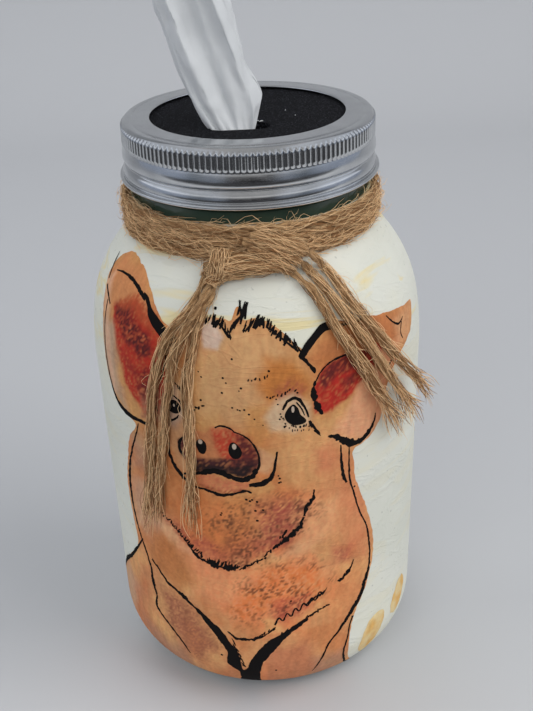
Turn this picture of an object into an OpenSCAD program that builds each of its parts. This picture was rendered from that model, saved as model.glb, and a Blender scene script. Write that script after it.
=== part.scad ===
// Tissue dispenser made from a regular-mouth quart canning jar.
// Millimetres, +Z up. The origin is the centre of the base, on the resting ring.
// The decorated front faces -Y.

/* [Glass jar] */
// Height of the glass, base to rim
glass_h = 171; // [168:0.5:176]
// Outer radius of the glass at the top of the straight side
body_r = 48.2; // [47.6:0.1:48.8]
// Outer radius of the glass just above the heel
base_r = 46.4; // [45.5:0.1:47.2]
// Radius of the rounded heel
heel_r = 19.6; // [17:0.2:21]
// Thickness of the glass side
wall_t = 3.2; // [2.6:0.1:3.8]
// Outer radius of the neck under the twine
neck_r = 33.6; // [33.4:0.1:33.8]
// Radius of the mouth
mouth_r = 29.6; // [29:0.1:30]
// Height of the hollow under the base
punt_h = 2.4; // [1.5:0.1:3.5]

/* [Screw finish] */
// Pitch of the screw thread
pitch = 5.08; // [5.08:0.01:5.08]
// Radius at the root of the glass thread
root_r = 32.7; // [32.6:0.05:32.8]
// Radius at the crest of the glass thread
crest_r = 33.9; // [33.8:0.05:33.95]
// Turns of thread on the glass
glass_turns = 1.3; // [1:0.05:1.4]

/* [Screw band] */
// Height of the band
band_h = 16.1; // [16:0.1:16.3]
// Radius of the opening in the band's top
opening_r = 27; // [26:0.1:28]
// Outer radius over the band's knurl
knurl_r = 35.1; // [35:0.05:35.2]
// Number of flutes round the knurl
flutes = 140; // [100:4:160]
// Outer radius of the rolled hem
hem_r = 36.3; // [36:0.05:36.5]
// Thickness of the sheet
sheet_t = 0.35; // [0.3:0.01:0.4]

/* [Foam insert] */
// Radius of the foam disc
foam_r = 33.6; // [33.2:0.1:33.8]
// Thickness of the foam disc
foam_t = 1.9; // [1.6:0.05:1.95]
// Length of the slit
slit_l = 16; // [14:0.5:18]
// Width of the slit
slit_w = 6; // [6:0.25:8]

/* [Paint and print] */
// Thickness of the paint coat
paint_t = 0.4; // [0.2:0.05:0.5]
// Thickness of the paper prints and their glue
print_t = 0.12; // [0.1:0.01:0.2]

/* [Twine] */
// Diameter of the twine
twine_d = 2.2; // [2:0.05:2.2]
// Height of the lowest turn's centre
turn_z = 145.6; // [145.5:0.1:145.8]
// Rise from one turn to the next
turn_rise = 1.7; // [1.7:0.01:1.72]

/* [Tissue] */
// Outer radius of the tissue roll
roll_r = 41; // [36:0.5:42]
// Height of the tissue roll
roll_h = 92; // [80:1:95]
// Radius of the hole in the middle of the roll
roll_hole_r = 17; // [16.5:0.5:19]

/* [Hidden] */
$fn = 96;
// Finer rounding, for thin sheet metal
fine = 360;

// Running gap between pieces of different bodies
gap = 0.1;
// Arcs of the side: the long flat one, then the rounder shoulder
side_arc_z = 106.5;
side_arc_r = 92.6;
shoulder_arc_r = 39.6;
shoulder_start = 8;
shoulder_end = 47;
side_centre = [body_r - side_arc_r, side_arc_z];
shoulder_centre = side_centre
    + (side_arc_r - shoulder_arc_r) * [cos(shoulder_start), sin(shoulder_start)];
// The neck starts above the shoulder and carries paint up to a line beside the highest turn
neck_z = 145.2;
neck_top = 156.6;
paint_top = 153.4;
finish_z = 157.2;
// Inner floor of the glass
floor_z = punt_h + 4;
foot_r = base_r - heel_r;

foam_z = glass_h + gap;
band_top = glass_h + 3;
band_z = band_top - band_h;
knurl_z = band_top - 5.6;
knurl_h = 3.9;
wall_r = knurl_r - 0.35;
// The glass thread's first turn starts this far under the rim
thread_start = glass_h - 2.4;
// Slit in the foam, forward of the centre
slit_at = [-2, -12];

function arc(c, r, a0, a1, n) =
    [for (i = [0:n]) let (a = a0 + (a1 - a0) * i / n) c + r * [cos(a), sin(a)]];
function reversed(list) = [for (i = [len(list) - 1:-1:0]) list[i]];

// Outline of the jar's side, moved outwards by "out"; starts at heel angle "a0"
function side(out, a0 = -90) = concat(
    arc([foot_r, heel_r], heel_r + out, a0, 0, 12),
    arc(side_centre, side_arc_r + out, 0, shoulder_start, 3),
    arc(shoulder_centre, shoulder_arc_r + out, shoulder_start + 3, shoulder_end, 13));

// Radius of the painted surface at height z
function paint_r(z) =
    z < heel_r
        ? foot_r + sqrt(pow(heel_r + paint_t, 2) - pow(heel_r - z, 2))
    : z < side_arc_z
        ? paint_t + base_r + (body_r - base_r) * (z - heel_r) / (side_arc_z - heel_r)
    : z < shoulder_centre[1] + shoulder_arc_r * sin(shoulder_start)
        ? side_centre[0] + sqrt(pow(side_arc_r + paint_t, 2) - pow(z - side_arc_z, 2))
    : z < neck_z - 2
        ? shoulder_centre[0]
            + sqrt(pow(shoulder_arc_r + paint_t, 2) - pow(z - shoulder_centre[1], 2))
    : 37.8;

// A place on the jar: angle from the front towards +X, height, distance off the paint
function on_jar(p) =
    let (r = paint_r(p[1]) + p[2]) [r * sin(p[0]), -r * cos(p[0]), p[1]];

function unit(v) = v / norm(v);

// Solid tube of n sides along a route that never runs straight out from the jar's axis
module tube(route, d, n = 8) {
    last = len(route) - 1;
    rings = [
        for (i = [0:last])
            let (t = unit(route[min(i + 1, last)] - route[max(i - 1, 0)]))
            let (away = [route[i][0], route[i][1], 0])
            let (b = unit(cross(t, away)))
            let (c = cross(b, t))
            for (k = [0:n - 1]) route[i] + d / 2 * (cos(360 * k / n) * b + sin(360 * k / n) * c)
    ];
    sides = [
        for (i = [0:last - 1])
            for (k = [0:n - 1])
                [i * n + k, i * n + (k + 1) % n, (i + 1) * n + (k + 1) % n, (i + 1) * n + k]
    ];
    start = [for (k = [n - 1:-1:0]) k];
    end = [for (k = [0:n - 1]) last * n + k];
    polyhedron(rings, concat(sides, [start, end]));
}

// Screw ridge: root and crest radii, half heights there, centre height at angle 0
module ridge(root, crest, half_root, half_crest, z, turns) {
    steps = round(turns * 48);
    rings = [
        for (i = [0:steps])
            let (a = -360 * turns * i / steps)
            let (fade = min(1, i / 5, (steps - i) / 5))
            let (r = root + (crest - root) * max(fade, 0.1))
            let (zi = z - pitch * turns * i / steps)
            for (p = [[root, -half_root], [r, -half_crest], [r, half_crest], [root, half_root]])
                [p[0] * cos(a), p[0] * sin(a), zi + p[1]]
    ];
    sides = [
        for (i = [0:steps - 1])
            for (k = [0:3])
                [i * 4 + k, i * 4 + (k + 1) % 4, (i + 1) * 4 + (k + 1) % 4, (i + 1) * 4 + k]
    ];
    ends = [[3, 2, 1, 0], [steps * 4, steps * 4 + 1, steps * 4 + 2, steps * 4 + 3]];
    faces = concat(sides, ends);
    polyhedron(rings, crest < root ? faces : [for (f = faces) reversed(f)]);
}

module glass_jar() {
    outside = concat(
        [[0, punt_h], [foot_r - 6, punt_h], [foot_r - 3, 0]],
        side(0),
        [[neck_r, neck_z], [neck_r, neck_top], [root_r, finish_z]],
        [[root_r, glass_h - 1.2]],
        arc([root_r - 1.2, glass_h - 1.2], 1.2, 0, 90, 4));
    inside = concat(
        [[0, floor_z]],
        side(-wall_t, -60),
        [[mouth_r, neck_z], [mouth_r, glass_h - 0.8]]);
    color("darkslategray") union() {
        rotate_extrude() polygon(concat(outside, [[mouth_r + 0.6, glass_h]], reversed(inside)));
        ridge(root_r - 0.4, crest_r, 1.3, 0.5, thread_start, glass_turns);
    }
}

module paint_coat() {
    outer = concat(side(paint_t, -60), [[neck_r + paint_t, neck_z], [neck_r + paint_t, paint_top]]);
    inner = concat(side(0.02, -60), [[neck_r + 0.02, neck_z], [neck_r + 0.02, paint_top]]);
    color("ivory") rotate_extrude() polygon(concat(outer, reversed(inner)));
}

// Sheet of paper on the paint, cut to an outline of [distance round the front, height]
module paper_print(outline) {
    outer = side(paint_t + print_t + 0.03, -55);
    inner = side(paint_t + 0.03, -55);
    intersection() {
        rotate_extrude() polygon(concat(outer, reversed(inner)));
        rotate([90, 0, 0]) linear_extrude(60)
            polygon([for (p = outline) [49 * sin(p[0] / 49 * 180 / PI), p[1]]]);
    }
}

// Outline of the pig: left ear, forehead, right ear, right side, feet, left side
pig_outline = [
    [-38, 98], [-50, 98], [-53, 112], [-56, 124], [-61, 131], [-56, 139], [-46, 140], [-36, 136],
    [-27, 129], [-20, 126], [-12, 131], [-2, 131], [6, 127], [12, 121], [20, 127], [34, 126],
    [46, 123], [58, 118], [52, 113], [43, 110], [38, 104], [36, 95], [30, 89], [26, 88],
    [28, 76], [33, 63], [35, 50], [33, 38], [28, 27], [25, 17], [28, 9], [20, 5],
    [-5, 4], [-40, 6], [-58, 12], [-63, 24], [-60, 34], [-50, 45], [-47, 54], [-48, 66],
    [-47, 78], [-42, 90]
];
module pig_print() {
    color("peru") paper_print(pig_outline);
}

straw_blades = [
    [[31, 13], [33, 20], [38, 23], [42, 22], [39, 15], [36, 10]],
    [[47, 20], [50, 26], [55, 27], [57, 23], [53, 18], [49, 17]]
];
module straw_print() {
    color("burlywood") for (blade = straw_blades) paper_print(blade);
}

// The roll sinks a little into the heel, where its lower edge is crushed
module tissue_roll() {
    low = floor_z - 0.45;
    crush = 6;
    color("white") rotate_extrude() polygon([
        [roll_hole_r, low], [roll_r - crush, low], [roll_r, low + crush],
        [roll_r, low + roll_h], [roll_hole_r, low + roll_h]
    ]);
}

// One of three strands, each wound twice round the neck; turns lie in and out by turns,
// and the twine is squeezed a little thinner where it is wound
module twine_strand(first) {
    wound_d = twine_d - 0.2;
    for (turn = [first, first + 3]) {
        step = turn % 2 == 0 ? 0 : 1.1;
        color("tan") rotate_extrude()
            translate([neck_r + paint_t + wound_d / 2 + 0.05 + step, turn_z + turn * turn_rise])
                circle(d = wound_d, $fn = 32);
    }
}
module twine_strand_lower() twine_strand(0);
module twine_strand_middle() twine_strand(1);
module twine_strand_upper() twine_strand(2);

// The knot is a flat loop of doubled twine tied over the front of the turns
knot_route = [
    [-18, 146, 1], [-15, 149, 1], [-9, 151, 1], [-2, 151.5, 1], [5, 151, 1],
    [11, 150, 1], [14, 147, 1], [11, 144, 1.5], [4, 142.5, 3.5], [-4, 142, 3.5],
    [-12, 142.5, 3], [-17, 143.5, 2]
];
module twine_knot() {
    color("tan") tube([for (p = knot_route) on_jar(p)], 3.2, 10);
}

// Routes of the tails, as places on the jar
tail_left_outer = [
    [-19, 141, 2], [-21, 136.5, 1.8], [-24.5, 132, 1.6], [-28.5, 128, 1.5], [-31, 123, 1.4],
    [-33, 117.5, 1.4], [-34.5, 112, 1.4], [-36, 106, 1.4], [-37, 100, 1.4], [-38, 94, 1.4],
    [-39, 88, 1.5], [-40, 82, 1.6], [-41.5, 76, 1.7], [-42.5, 71, 2]
];
tail_left_middle = [
    [-16, 140, 4.1], [-18.5, 136, 4], [-21.5, 131.5, 3.5], [-24.5, 126.5, 2.7], [-27, 121.5, 2],
    [-28.5, 116.5, 1.5], [-29.5, 111, 1.4], [-31, 105, 1.4], [-32, 99, 1.4], [-33.5, 93, 1.4],
    [-35, 87, 1.4], [-36, 81, 1.5], [-37.5, 75, 1.6]
];
tail_left_inner = [
    [-14, 141, 1.8], [-16, 137, 1.5], [-18.5, 133, 1.5], [-20, 128, 1.4], [-21, 122.5, 1.4],
    [-22.5, 117, 1.4], [-23, 111, 1.4], [-23, 105, 1.4], [-23, 99, 1.4], [-23.5, 93, 1.4],
    [-24, 87, 1.4], [-24.5, 82, 1.5], [-24.5, 77, 1.6]
];
tail_right_lower = [
    [14, 141.5, 2], [18, 139, 1.7], [21.5, 135.5, 1.5], [24, 131, 1.5], [26.5, 126.5, 1.5],
    [29, 122, 1.5], [32, 117.5, 1.5], [35, 113, 1.6], [37.5, 108.5, 2], [40.5, 104, 2.6],
    [43.5, 100, 3.2]
];
tail_right_middle = [
    [17.5, 144, 1.3], [21, 141.5, 1.5], [24.5, 138, 1.5], [27.5, 134, 1.5], [30.5, 129.5, 1.5],
    [33.5, 125, 1.5], [36.5, 120.5, 1.8], [39.5, 115.5, 2.3], [42.5, 110.5, 3], [46, 105.5, 3.6],
    [50, 100.5, 4.2]
];
tail_right_upper = [
    [20.5, 146.5, 1.3], [24.5, 144, 1.4], [28, 141, 1.5], [31, 137, 1.5], [33.5, 132.5, 1.5],
    [36.5, 128, 1.8], [39.5, 123.5, 2.3], [43, 118.5, 3], [47, 113.5, 3.8], [51.5, 108.5, 4.6],
    [56.5, 104, 5.4]
];
module twine_tail(route) {
    color("tan") tube([for (p = route) on_jar(p)], twine_d);
}
module twine_tail_left_outer() twine_tail(tail_left_outer);
module twine_tail_left_middle() twine_tail(tail_left_middle);
module twine_tail_left_inner() twine_tail(tail_left_inner);
module twine_tail_right_upper() twine_tail(tail_right_upper);
module twine_tail_right_middle() twine_tail(tail_right_middle);
module twine_tail_right_lower() twine_tail(tail_right_lower);

module foam_insert() {
    color("dimgray") difference() {
        translate([0, 0, foam_z]) cylinder(r = foam_r, h = foam_t);
        translate([slit_at[0], slit_at[1], foam_z - 1]) {
            translate([(slit_w - slit_l) / 2, -slit_w / 2, 0]) cube([slit_l - slit_w, slit_w, foam_t + 2]);
            for (side = [-1, 1])
                translate([side * (slit_l - slit_w) / 2, 0, 0]) cylinder(d = slit_w, h = foam_t + 2);
        }
    }
}

module knurl() {
    valley_r = wall_r + 0.06;
    tips = [
        for (i = [0:flutes - 1])
            for (part = [0, 1])
                let (a = 360 * (i + part / 2) / flutes)
                (part == 0 ? knurl_r : valley_r) * [cos(a), sin(a)]
    ];
    translate([0, 0, knurl_z + 0.2]) linear_extrude(knurl_h) difference() {
        polygon(tips);
        circle(r = wall_r - 0.15, $fn = fine);
    }
}

module screw_band() {
    bulge_r = knurl_r + 0.1;
    hem_roll = 0.55;
    outer = concat(
        [[opening_r, band_top], [opening_r + 5, band_top - 0.1], [opening_r + 5.3, band_top - 0.45]],
        arc([wall_r - 0.9, band_top - 1.4], 0.9, 80, 0, 5),
        [[wall_r, knurl_z], [bulge_r, knurl_z - 2], [bulge_r, band_z + 5.6], [wall_r, band_z + 5]],
        [[wall_r, band_z + 1.6], [hem_r - hem_roll, band_z + 1]]);
    inner = concat(
        [[opening_r, band_top - sheet_t], [opening_r + 4.9, band_top - 0.1 - sheet_t]],
        [[opening_r + 5.2, band_top - 0.45 - sheet_t]],
        arc([wall_r - 0.9, band_top - 1.4], 0.9 - sheet_t, 80, 0, 5),
        [[wall_r - sheet_t, knurl_z], [wall_r - sheet_t, band_z + 1.5]],
        [[hem_r - 2 * hem_roll, band_z + 0.6]]);
    color("silver") union() {
        rotate_extrude($fn = fine) polygon(concat(outer, reversed(inner)));
        rotate_extrude($fn = fine)
            translate([hem_r - hem_roll, band_z + hem_roll]) circle(hem_roll, $fn = 48);
        knurl();
        ridge(wall_r - 0.12, crest_r - 0.7, 1, 0.4, thread_start - pitch / 2, 1.1);
    }
}

// Stations of the pulled tissue: [x, y, z], half width, half depth
plume_stations = [
    [[-2, -12, 100], 4.5, 2], [[-2, -12, 136], 4.5, 2], [[-2, -12, 173.6], 4.5, 2],
    [[-2.5, -12, 176], 6, 3], [[-4, -11.5, 179], 8, 4.2], [[-6.5, -10, 184], 10, 5.5],
    [[-9.5, -8, 191], 11, 6.5], [[-12.5, -6, 199], 11, 7], [[-15, -4, 207], 11.5, 7],
    [[-17, -3, 215], 12, 7], [[-18.5, -2, 223], 12, 6], [[-19.5, -2, 230], 10, 4]
];
module tissue_plume() {
    n = 20;
    last = len(plume_stations) - 1;
    rings = [
        for (s = plume_stations)
            for (k = [0:n - 1]) s[0] + [s[1] * cos(360 * k / n), s[2] * sin(360 * k / n), 0]
    ];
    sides = [
        for (i = [0:last - 1])
            for (k = [0:n - 1])
                [i * n + k, (i + 1) * n + k, (i + 1) * n + (k + 1) % n, i * n + (k + 1) % n]
    ];
    bottom = [for (k = [0:n - 1]) k];
    top = [for (k = [n - 1:-1:0]) last * n + k];
    color("white") polyhedron(rings, concat(sides, [bottom, top]));
}

glass_jar();
paint_coat();
pig_print();
straw_print();
tissue_roll();
twine_strand_upper();
twine_strand_middle();
twine_strand_lower();
twine_knot();
twine_tail_left_outer();
twine_tail_left_middle();
twine_tail_left_inner();
twine_tail_right_upper();
twine_tail_right_middle();
twine_tail_right_lower();
foam_insert();
screw_band();
tissue_plume();
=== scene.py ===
"""Looks of the tissue dispenser jar: painted canning jar with a pig print, jute twine and a pulled tissue."""

import bpy
import math
import numpy as np
from mathutils import Matrix, Vector


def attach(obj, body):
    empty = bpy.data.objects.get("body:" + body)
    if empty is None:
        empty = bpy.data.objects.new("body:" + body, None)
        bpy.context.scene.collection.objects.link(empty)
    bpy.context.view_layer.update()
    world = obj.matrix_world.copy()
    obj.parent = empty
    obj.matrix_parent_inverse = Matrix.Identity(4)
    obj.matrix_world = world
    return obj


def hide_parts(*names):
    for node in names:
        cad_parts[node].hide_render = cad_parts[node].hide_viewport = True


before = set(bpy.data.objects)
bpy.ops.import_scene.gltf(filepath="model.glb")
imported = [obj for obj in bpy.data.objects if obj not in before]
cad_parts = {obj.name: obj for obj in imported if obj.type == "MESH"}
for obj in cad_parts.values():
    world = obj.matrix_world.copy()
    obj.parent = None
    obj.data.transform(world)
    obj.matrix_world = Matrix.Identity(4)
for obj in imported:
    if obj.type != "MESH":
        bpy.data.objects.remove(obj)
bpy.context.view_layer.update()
MM = 0.001
R_PRINT = 49.0
rng = np.random.default_rng(11)
scene = bpy.context.scene

# ---------------------------------------------------------------- camera
cam_data = bpy.data.cameras.new("camera")
cam = bpy.data.objects.new("camera", cam_data)
scene.collection.objects.link(cam)
yaw, pitch, roll = 0.008, 0.477, -0.041
fwd = Vector((math.sin(yaw) * math.cos(pitch), math.cos(yaw) * math.cos(pitch), -math.sin(pitch)))
right = fwd.cross(Vector((0, 0, 1))).normalized()
up = right.cross(fwd)
cx = math.cos(roll) * right + math.sin(roll) * up
cy = -math.sin(roll) * right + math.cos(roll) * up
cam.matrix_world = Matrix((
    (cx.x, cy.x, -fwd.x, 0.0),
    (cx.y, cy.y, -fwd.y, -0.3111),
    (cx.z, cy.z, -fwd.z, 0.2586),
    (0, 0, 0, 1)))
cam_data.sensor_width = 36
cam_data.lens = 57.94
cam_data.dof.use_dof = False
cam_data.clip_start = 0.01
scene.camera = cam

# ---------------------------------------------------------------- small tools
paint_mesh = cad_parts["paint_coat"].data
paint_co = np.array([v.co for v in paint_mesh.vertices])
paint_out = (np.array([v.normal for v in paint_mesh.vertices]) * paint_co * [1, 1, 0]).sum(1) > 0.008
heights = np.where(paint_out, np.round(paint_co[:, 2] / MM, 2), -1)
profile_z = np.unique(heights[paint_out])
profile_r = np.array([np.hypot(*paint_co[heights == z][:, :2].T).max() for z in profile_z]) / MM


def side_r(z):
    """Radius of the painted side at height z, in millimetres."""
    return np.interp(z, profile_z, profile_r)


def place(s, z, off):
    """Points on the side: distance s round the front, height z, distance off the paint, all in mm."""
    s, z = np.broadcast_arrays(np.asarray(s, float), np.asarray(z, float))
    r = side_r(z) + off
    a = s / R_PRINT
    return np.stack([r * np.sin(a), -r * np.cos(a), z], -1) * MM

# mm, outside of the paint on the neck
NECK_PAINT_R = 37.8


def on_jar(route):
    """A route of [degrees from the front, height, distance off the side], as points in metres."""
    p = np.array(route, float)
    r = np.where(p[:, 1] < 143.2, side_r(p[:, 1]), NECK_PAINT_R) + p[:, 2]
    a = np.radians(p[:, 0])
    return np.stack([r * np.sin(a), -r * np.cos(a), p[:, 1]], 1) * MM


def curve(points, step, closed=False):
    """Smooth line through the points, with even steps along it."""
    p = np.array(points, float)
    if closed:
        q = np.vstack([p[-1], p, p[0], p[1]])
    else:
        q = np.vstack([2 * p[0] - p[1], p, 2 * p[-1] - p[-2]])
    t = np.linspace(0, 1, 17)[:-1, None]
    out = []
    for a, b, c, d in zip(q[:-3], q[1:-2], q[2:-1], q[3:]):
        out.append(0.5 * (2 * b + (c - a) * t + (2 * a - 5 * b + 4 * c - d) * t ** 2
                          + (3 * b - a - 3 * c + d) * t ** 3))
    out = np.vstack(out + [q[-2][None]])
    far = np.r_[0, np.cumsum(np.linalg.norm(np.diff(out, axis=0), axis=1))]
    n = max(2, int(round(far[-1] / step)))
    at = np.linspace(0, far[-1], n + 1)
    return np.stack([np.interp(at, far, out[:, i]) for i in range(p.shape[1])], 1)


def frames(path, away):
    """Tangent and two normals along a path; away is the direction that the second normal leans to."""
    t = np.gradient(path, axis=0)
    t /= np.linalg.norm(t, axis=1)[:, None]
    n = away - (away * t).sum(1)[:, None] * t
    n /= np.linalg.norm(n, axis=1)[:, None] + 1e-12
    return t, n, np.cross(t, n)


def outward(path):
    """Unit vectors away from the jar's axis."""
    w = path * [1, 1, 0]
    return w / (np.linalg.norm(w, axis=1)[:, None] + 1e-12)


def noise2(p, seed=0):
    """Smooth value noise from 0 to 1 at points p of two numbers."""
    p = np.asarray(p, float)
    i = np.floor(p).astype(np.int64)
    f = p - i
    f = f * f * (3 - 2 * f)

    def lattice(x, y):
        h = (x * 374761393 + y * 668265263 + seed * 974634777) & 0xFFFFFFFF
        h = ((h ^ (h >> 13)) * 1274126177) & 0xFFFFFFFF
        return ((h ^ (h >> 16)) & 0xFFFF) / 65535.0

    a, b = lattice(i[..., 0], i[..., 1]), lattice(i[..., 0] + 1, i[..., 1])
    c, d = lattice(i[..., 0], i[..., 1] + 1), lattice(i[..., 0] + 1, i[..., 1] + 1)
    return (a + (b - a) * f[..., 0]) * (1 - f[..., 1]) + (c + (d - c) * f[..., 0]) * f[..., 1]


def fbm(p, seed=0, octaves=4):
    p = np.asarray(p, float)
    total, size = 0, 0
    for k in range(octaves):
        total = total + noise2(p * 2 ** k, seed + 17 * k) / 2 ** k
        size += 1 / 2 ** k
    return total / size


def facets(p, seed=0):
    """Heights of crumpled paper at points p: flat triangles between random heights, from 0 to 1."""
    i = np.floor(p)
    f = p - i
    low = f[..., 0] > f[..., 1]
    mid = i + np.where(low[..., None], [1, 0], [0, 1])
    a, b, c = noise2(i, seed), noise2(mid, seed), noise2(i + 1, seed)
    big, small = np.maximum(f[..., 0], f[..., 1]), np.minimum(f[..., 0], f[..., 1])
    return a * (1 - big) + b * (big - small) + c * small


def tone(r, g, b):
    """Linear colour of a surface that looks like this sRGB tone in the scene's light."""
    c = np.array([r, g, b]) / 255
    return np.minimum(0.95, np.where(c < 0.04045, c / 12.92, ((c + 0.055) / 1.055) ** 2.4) / 0.8)


class Heap:
    """Vertices, faces and a value per vertex, gathered into one mesh."""

    def __init__(self):
        self.v, self.f, self.g, self.n = [], [], [], 0

    def add(self, verts, faces, value=None):
        verts = np.asarray(verts, float).reshape(-1, 3)
        self.v.append(verts)
        self.f.extend((np.asarray(faces) + self.n).tolist())
        value = np.zeros(3) if value is None else value
        self.g.append(np.broadcast_to(np.asarray(value, float), (len(verts), 3)))
        self.n += len(verts)

    def make(self, name, material, body, value_name=None):
        mesh = bpy.data.meshes.new(name)
        mesh.from_pydata(np.vstack(self.v).tolist(), [], self.f)
        mesh.materials.append(material)
        if value_name:
            g = np.vstack(self.g)
            if value_name == "Wash":
                layer = mesh.attributes.new(value_name, "FLOAT_COLOR", "POINT")
                layer.data.foreach_set("color", np.c_[g, np.ones(len(g))].astype(np.float32).ravel())
            else:
                layer = mesh.attributes.new(value_name, "FLOAT_VECTOR", "POINT")
                layer.data.foreach_set("vector", g.astype(np.float32).ravel())
        mesh.polygons.foreach_set("use_smooth", [True] * len(mesh.polygons))
        mesh.update()
        obj = bpy.data.objects.new(name, mesh)
        scene.collection.objects.link(obj)
        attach(obj, body)
        return obj


def ring_faces(rows, n, closed=False):
    """Quads between rows of n points, each row a ring; closed joins the last row to the first."""
    i = np.arange(rows - (0 if closed else 1))[:, None]
    k = np.arange(n)[None]
    a, b = i * n + k, i * n + (k + 1) % n
    j = (i + 1) % rows
    return (np.stack([a, b, j * n + (k + 1) % n, j * n + k], -1).reshape(-1, 4)).tolist()


# ---------------------------------------------------------------- materials
def material(name, colour, rough, metal=0.0):
    m = bpy.data.materials.new(name)
    m.use_nodes = True
    p = m.node_tree.nodes["Principled BSDF"]
    p.inputs["Base Color"].default_value = (*colour, 1)
    p.inputs["Roughness"].default_value = rough
    p.inputs["Metallic"].default_value = metal
    return m, m.node_tree, p


def node(tree, kind, inputs=None, **settings):
    n = tree.nodes.new(kind)
    for key, value in settings.items():
        setattr(n, key, value)
    for key, value in (inputs or {}).items():
        if isinstance(value, bpy.types.NodeSocket):
            tree.links.new(value, n.inputs[key])
        else:
            n.inputs[key].default_value = value
    return n


def ramp(tree, fac, stops):
    r = node(tree, "ShaderNodeValToRGB", {"Fac": fac})
    e = r.color_ramp.elements
    while len(e) < len(stops):
        e.new(0.5)
    for el, (at, c) in zip(e, stops):
        el.position = at
        el.color = (*c, 1) if hasattr(c, "__len__") else (c, c, c, 1)
    return r.outputs["Color"]


def mix(tree, fac, a, b, blend="MIX"):
    n = node(tree, "ShaderNodeMix", data_type="RGBA", blend_type=blend)
    for socket, value in ((n.inputs[0], fac), (n.inputs[6], a), (n.inputs[7], b)):
        if isinstance(value, bpy.types.NodeSocket):
            tree.links.new(value, socket)
        else:
            socket.default_value = (*value, 1) if hasattr(value, "__len__") else value
    return n.outputs[2]


def bump(tree, p, height, strength, distance):
    b = node(tree, "ShaderNodeBump", {"Height": height, "Strength": strength, "Distance": distance})
    tree.links.new(b.outputs["Normal"], p.inputs["Normal"])


def place_of(tree, rotation=(0, 0, 0), scale=(1, 1, 1)):
    c = node(tree, "ShaderNodeTexCoord")
    return node(tree, "ShaderNodeMapping",
                {"Vector": c.outputs["Object"], "Rotation": rotation, "Scale": scale}).outputs["Vector"]


def cream_paint():
    m, t, p = material("cream_chalk_paint", tone(205, 202, 180), 0.62)
    where = place_of(t)
    broad = node(t, "ShaderNodeTexNoise", {"Vector": where, "Scale": 26.0, "Detail": 4.0})
    body = ramp(t, broad.outputs["Fac"], [(0.3, tone(198, 199, 187)), (0.55, tone(207, 207, 196)),
                                          (0.75, tone(212, 209, 188))])
    lean = place_of(t, (0, math.radians(38), 0), (12, 44, 170))
    streak = node(t, "ShaderNodeTexNoise", {"Vector": lean, "Scale": 1.0, "Detail": 3.0, "Distortion": 0.6})
    mask = ramp(t, streak.outputs["Fac"], [(0.54, 0.0), (0.62, 0.85)])
    sep = node(t, "ShaderNodeSeparateXYZ", {"Vector": where})
    shoulder = ramp(t, node(t, "ShaderNodeMath", {0: sep.outputs["Z"], 1: 7.0}, operation="MULTIPLY").outputs[0],
                    [(0.78, 0.15), (0.86, 1.0)])
    mask = mix(t, 1.0, mask, shoulder, "MULTIPLY")
    body = mix(t, mask, body, tuple(tone(214, 198, 146)))
    dust = node(t, "ShaderNodeTexNoise", {"Vector": where, "Scale": 620.0, "Detail": 1.0})
    specks = ramp(t, dust.outputs["Fac"], [(0.72, 0.0), (0.78, 0.45)])
    body = mix(t, specks, body, tuple(tone(150, 150, 140)))
    t.links.new(body, p.inputs["Base Color"])
    fold = node(t, "ShaderNodeTexNoise", {"Vector": place_of(t, (0, math.radians(25), 0.3), (60, 60, 160)),
                                          "Scale": 1.0, "Detail": 5.0, "Distortion": 1.4})
    ridge = ramp(t, fold.outputs["Fac"], [(0.44, 0.0), (0.5, 1.0), (0.56, 0.0)])
    bump(t, p, ridge, 0.35, 0.0003)
    return m


def print_paper():
    m, t, p = material("printed_paper", tone(176, 133, 93), 0.7)
    p.inputs["Specular IOR Level"].default_value = 0.2
    wash = node(t, "ShaderNodeVertexColor", layer_name="Wash").outputs["Color"]
    where = place_of(t)
    grain = node(t, "ShaderNodeTexNoise", {"Vector": where, "Scale": 900.0, "Detail": 3.0})
    body = mix(t, 0.35, wash, ramp(t, grain.outputs["Fac"], [(0.3, 0.35), (0.7, 0.65)]), "OVERLAY")
    t.links.new(body, p.inputs["Base Color"])
    fold = node(t, "ShaderNodeTexNoise", {"Vector": place_of(t, (0, 0.5, 0.2), (50, 50, 130)),
                                          "Scale": 1.0, "Detail": 5.0, "Distortion": 1.5})
    ridge = ramp(t, fold.outputs["Fac"], [(0.45, 0.0), (0.5, 1.0), (0.55, 0.0)])
    bump(t, p, ridge, 0.3, 0.0003)
    return m


def jute(name, dark, light):
    m, t, p = material(name, light, 0.85)
    grain = node(t, "ShaderNodeAttribute", attribute_name="Grain")
    where = node(t, "ShaderNodeMapping", {"Vector": grain.outputs["Vector"], "Scale": (0.35, 3.0, 1.0)})
    fibre = node(t, "ShaderNodeTexNoise", {"Vector": where.outputs["Vector"], "Scale": 1.6, "Detail": 5.0,
                                           "Roughness": 0.7})
    t.links.new(ramp(t, fibre.outputs["Fac"], [(0.32, dark), (0.5, 0.5 * (dark + light)), (0.66, light)]),
                p.inputs["Base Color"])
    bump(t, p, fibre.outputs["Fac"], 0.9, 0.0004)
    return m


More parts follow.
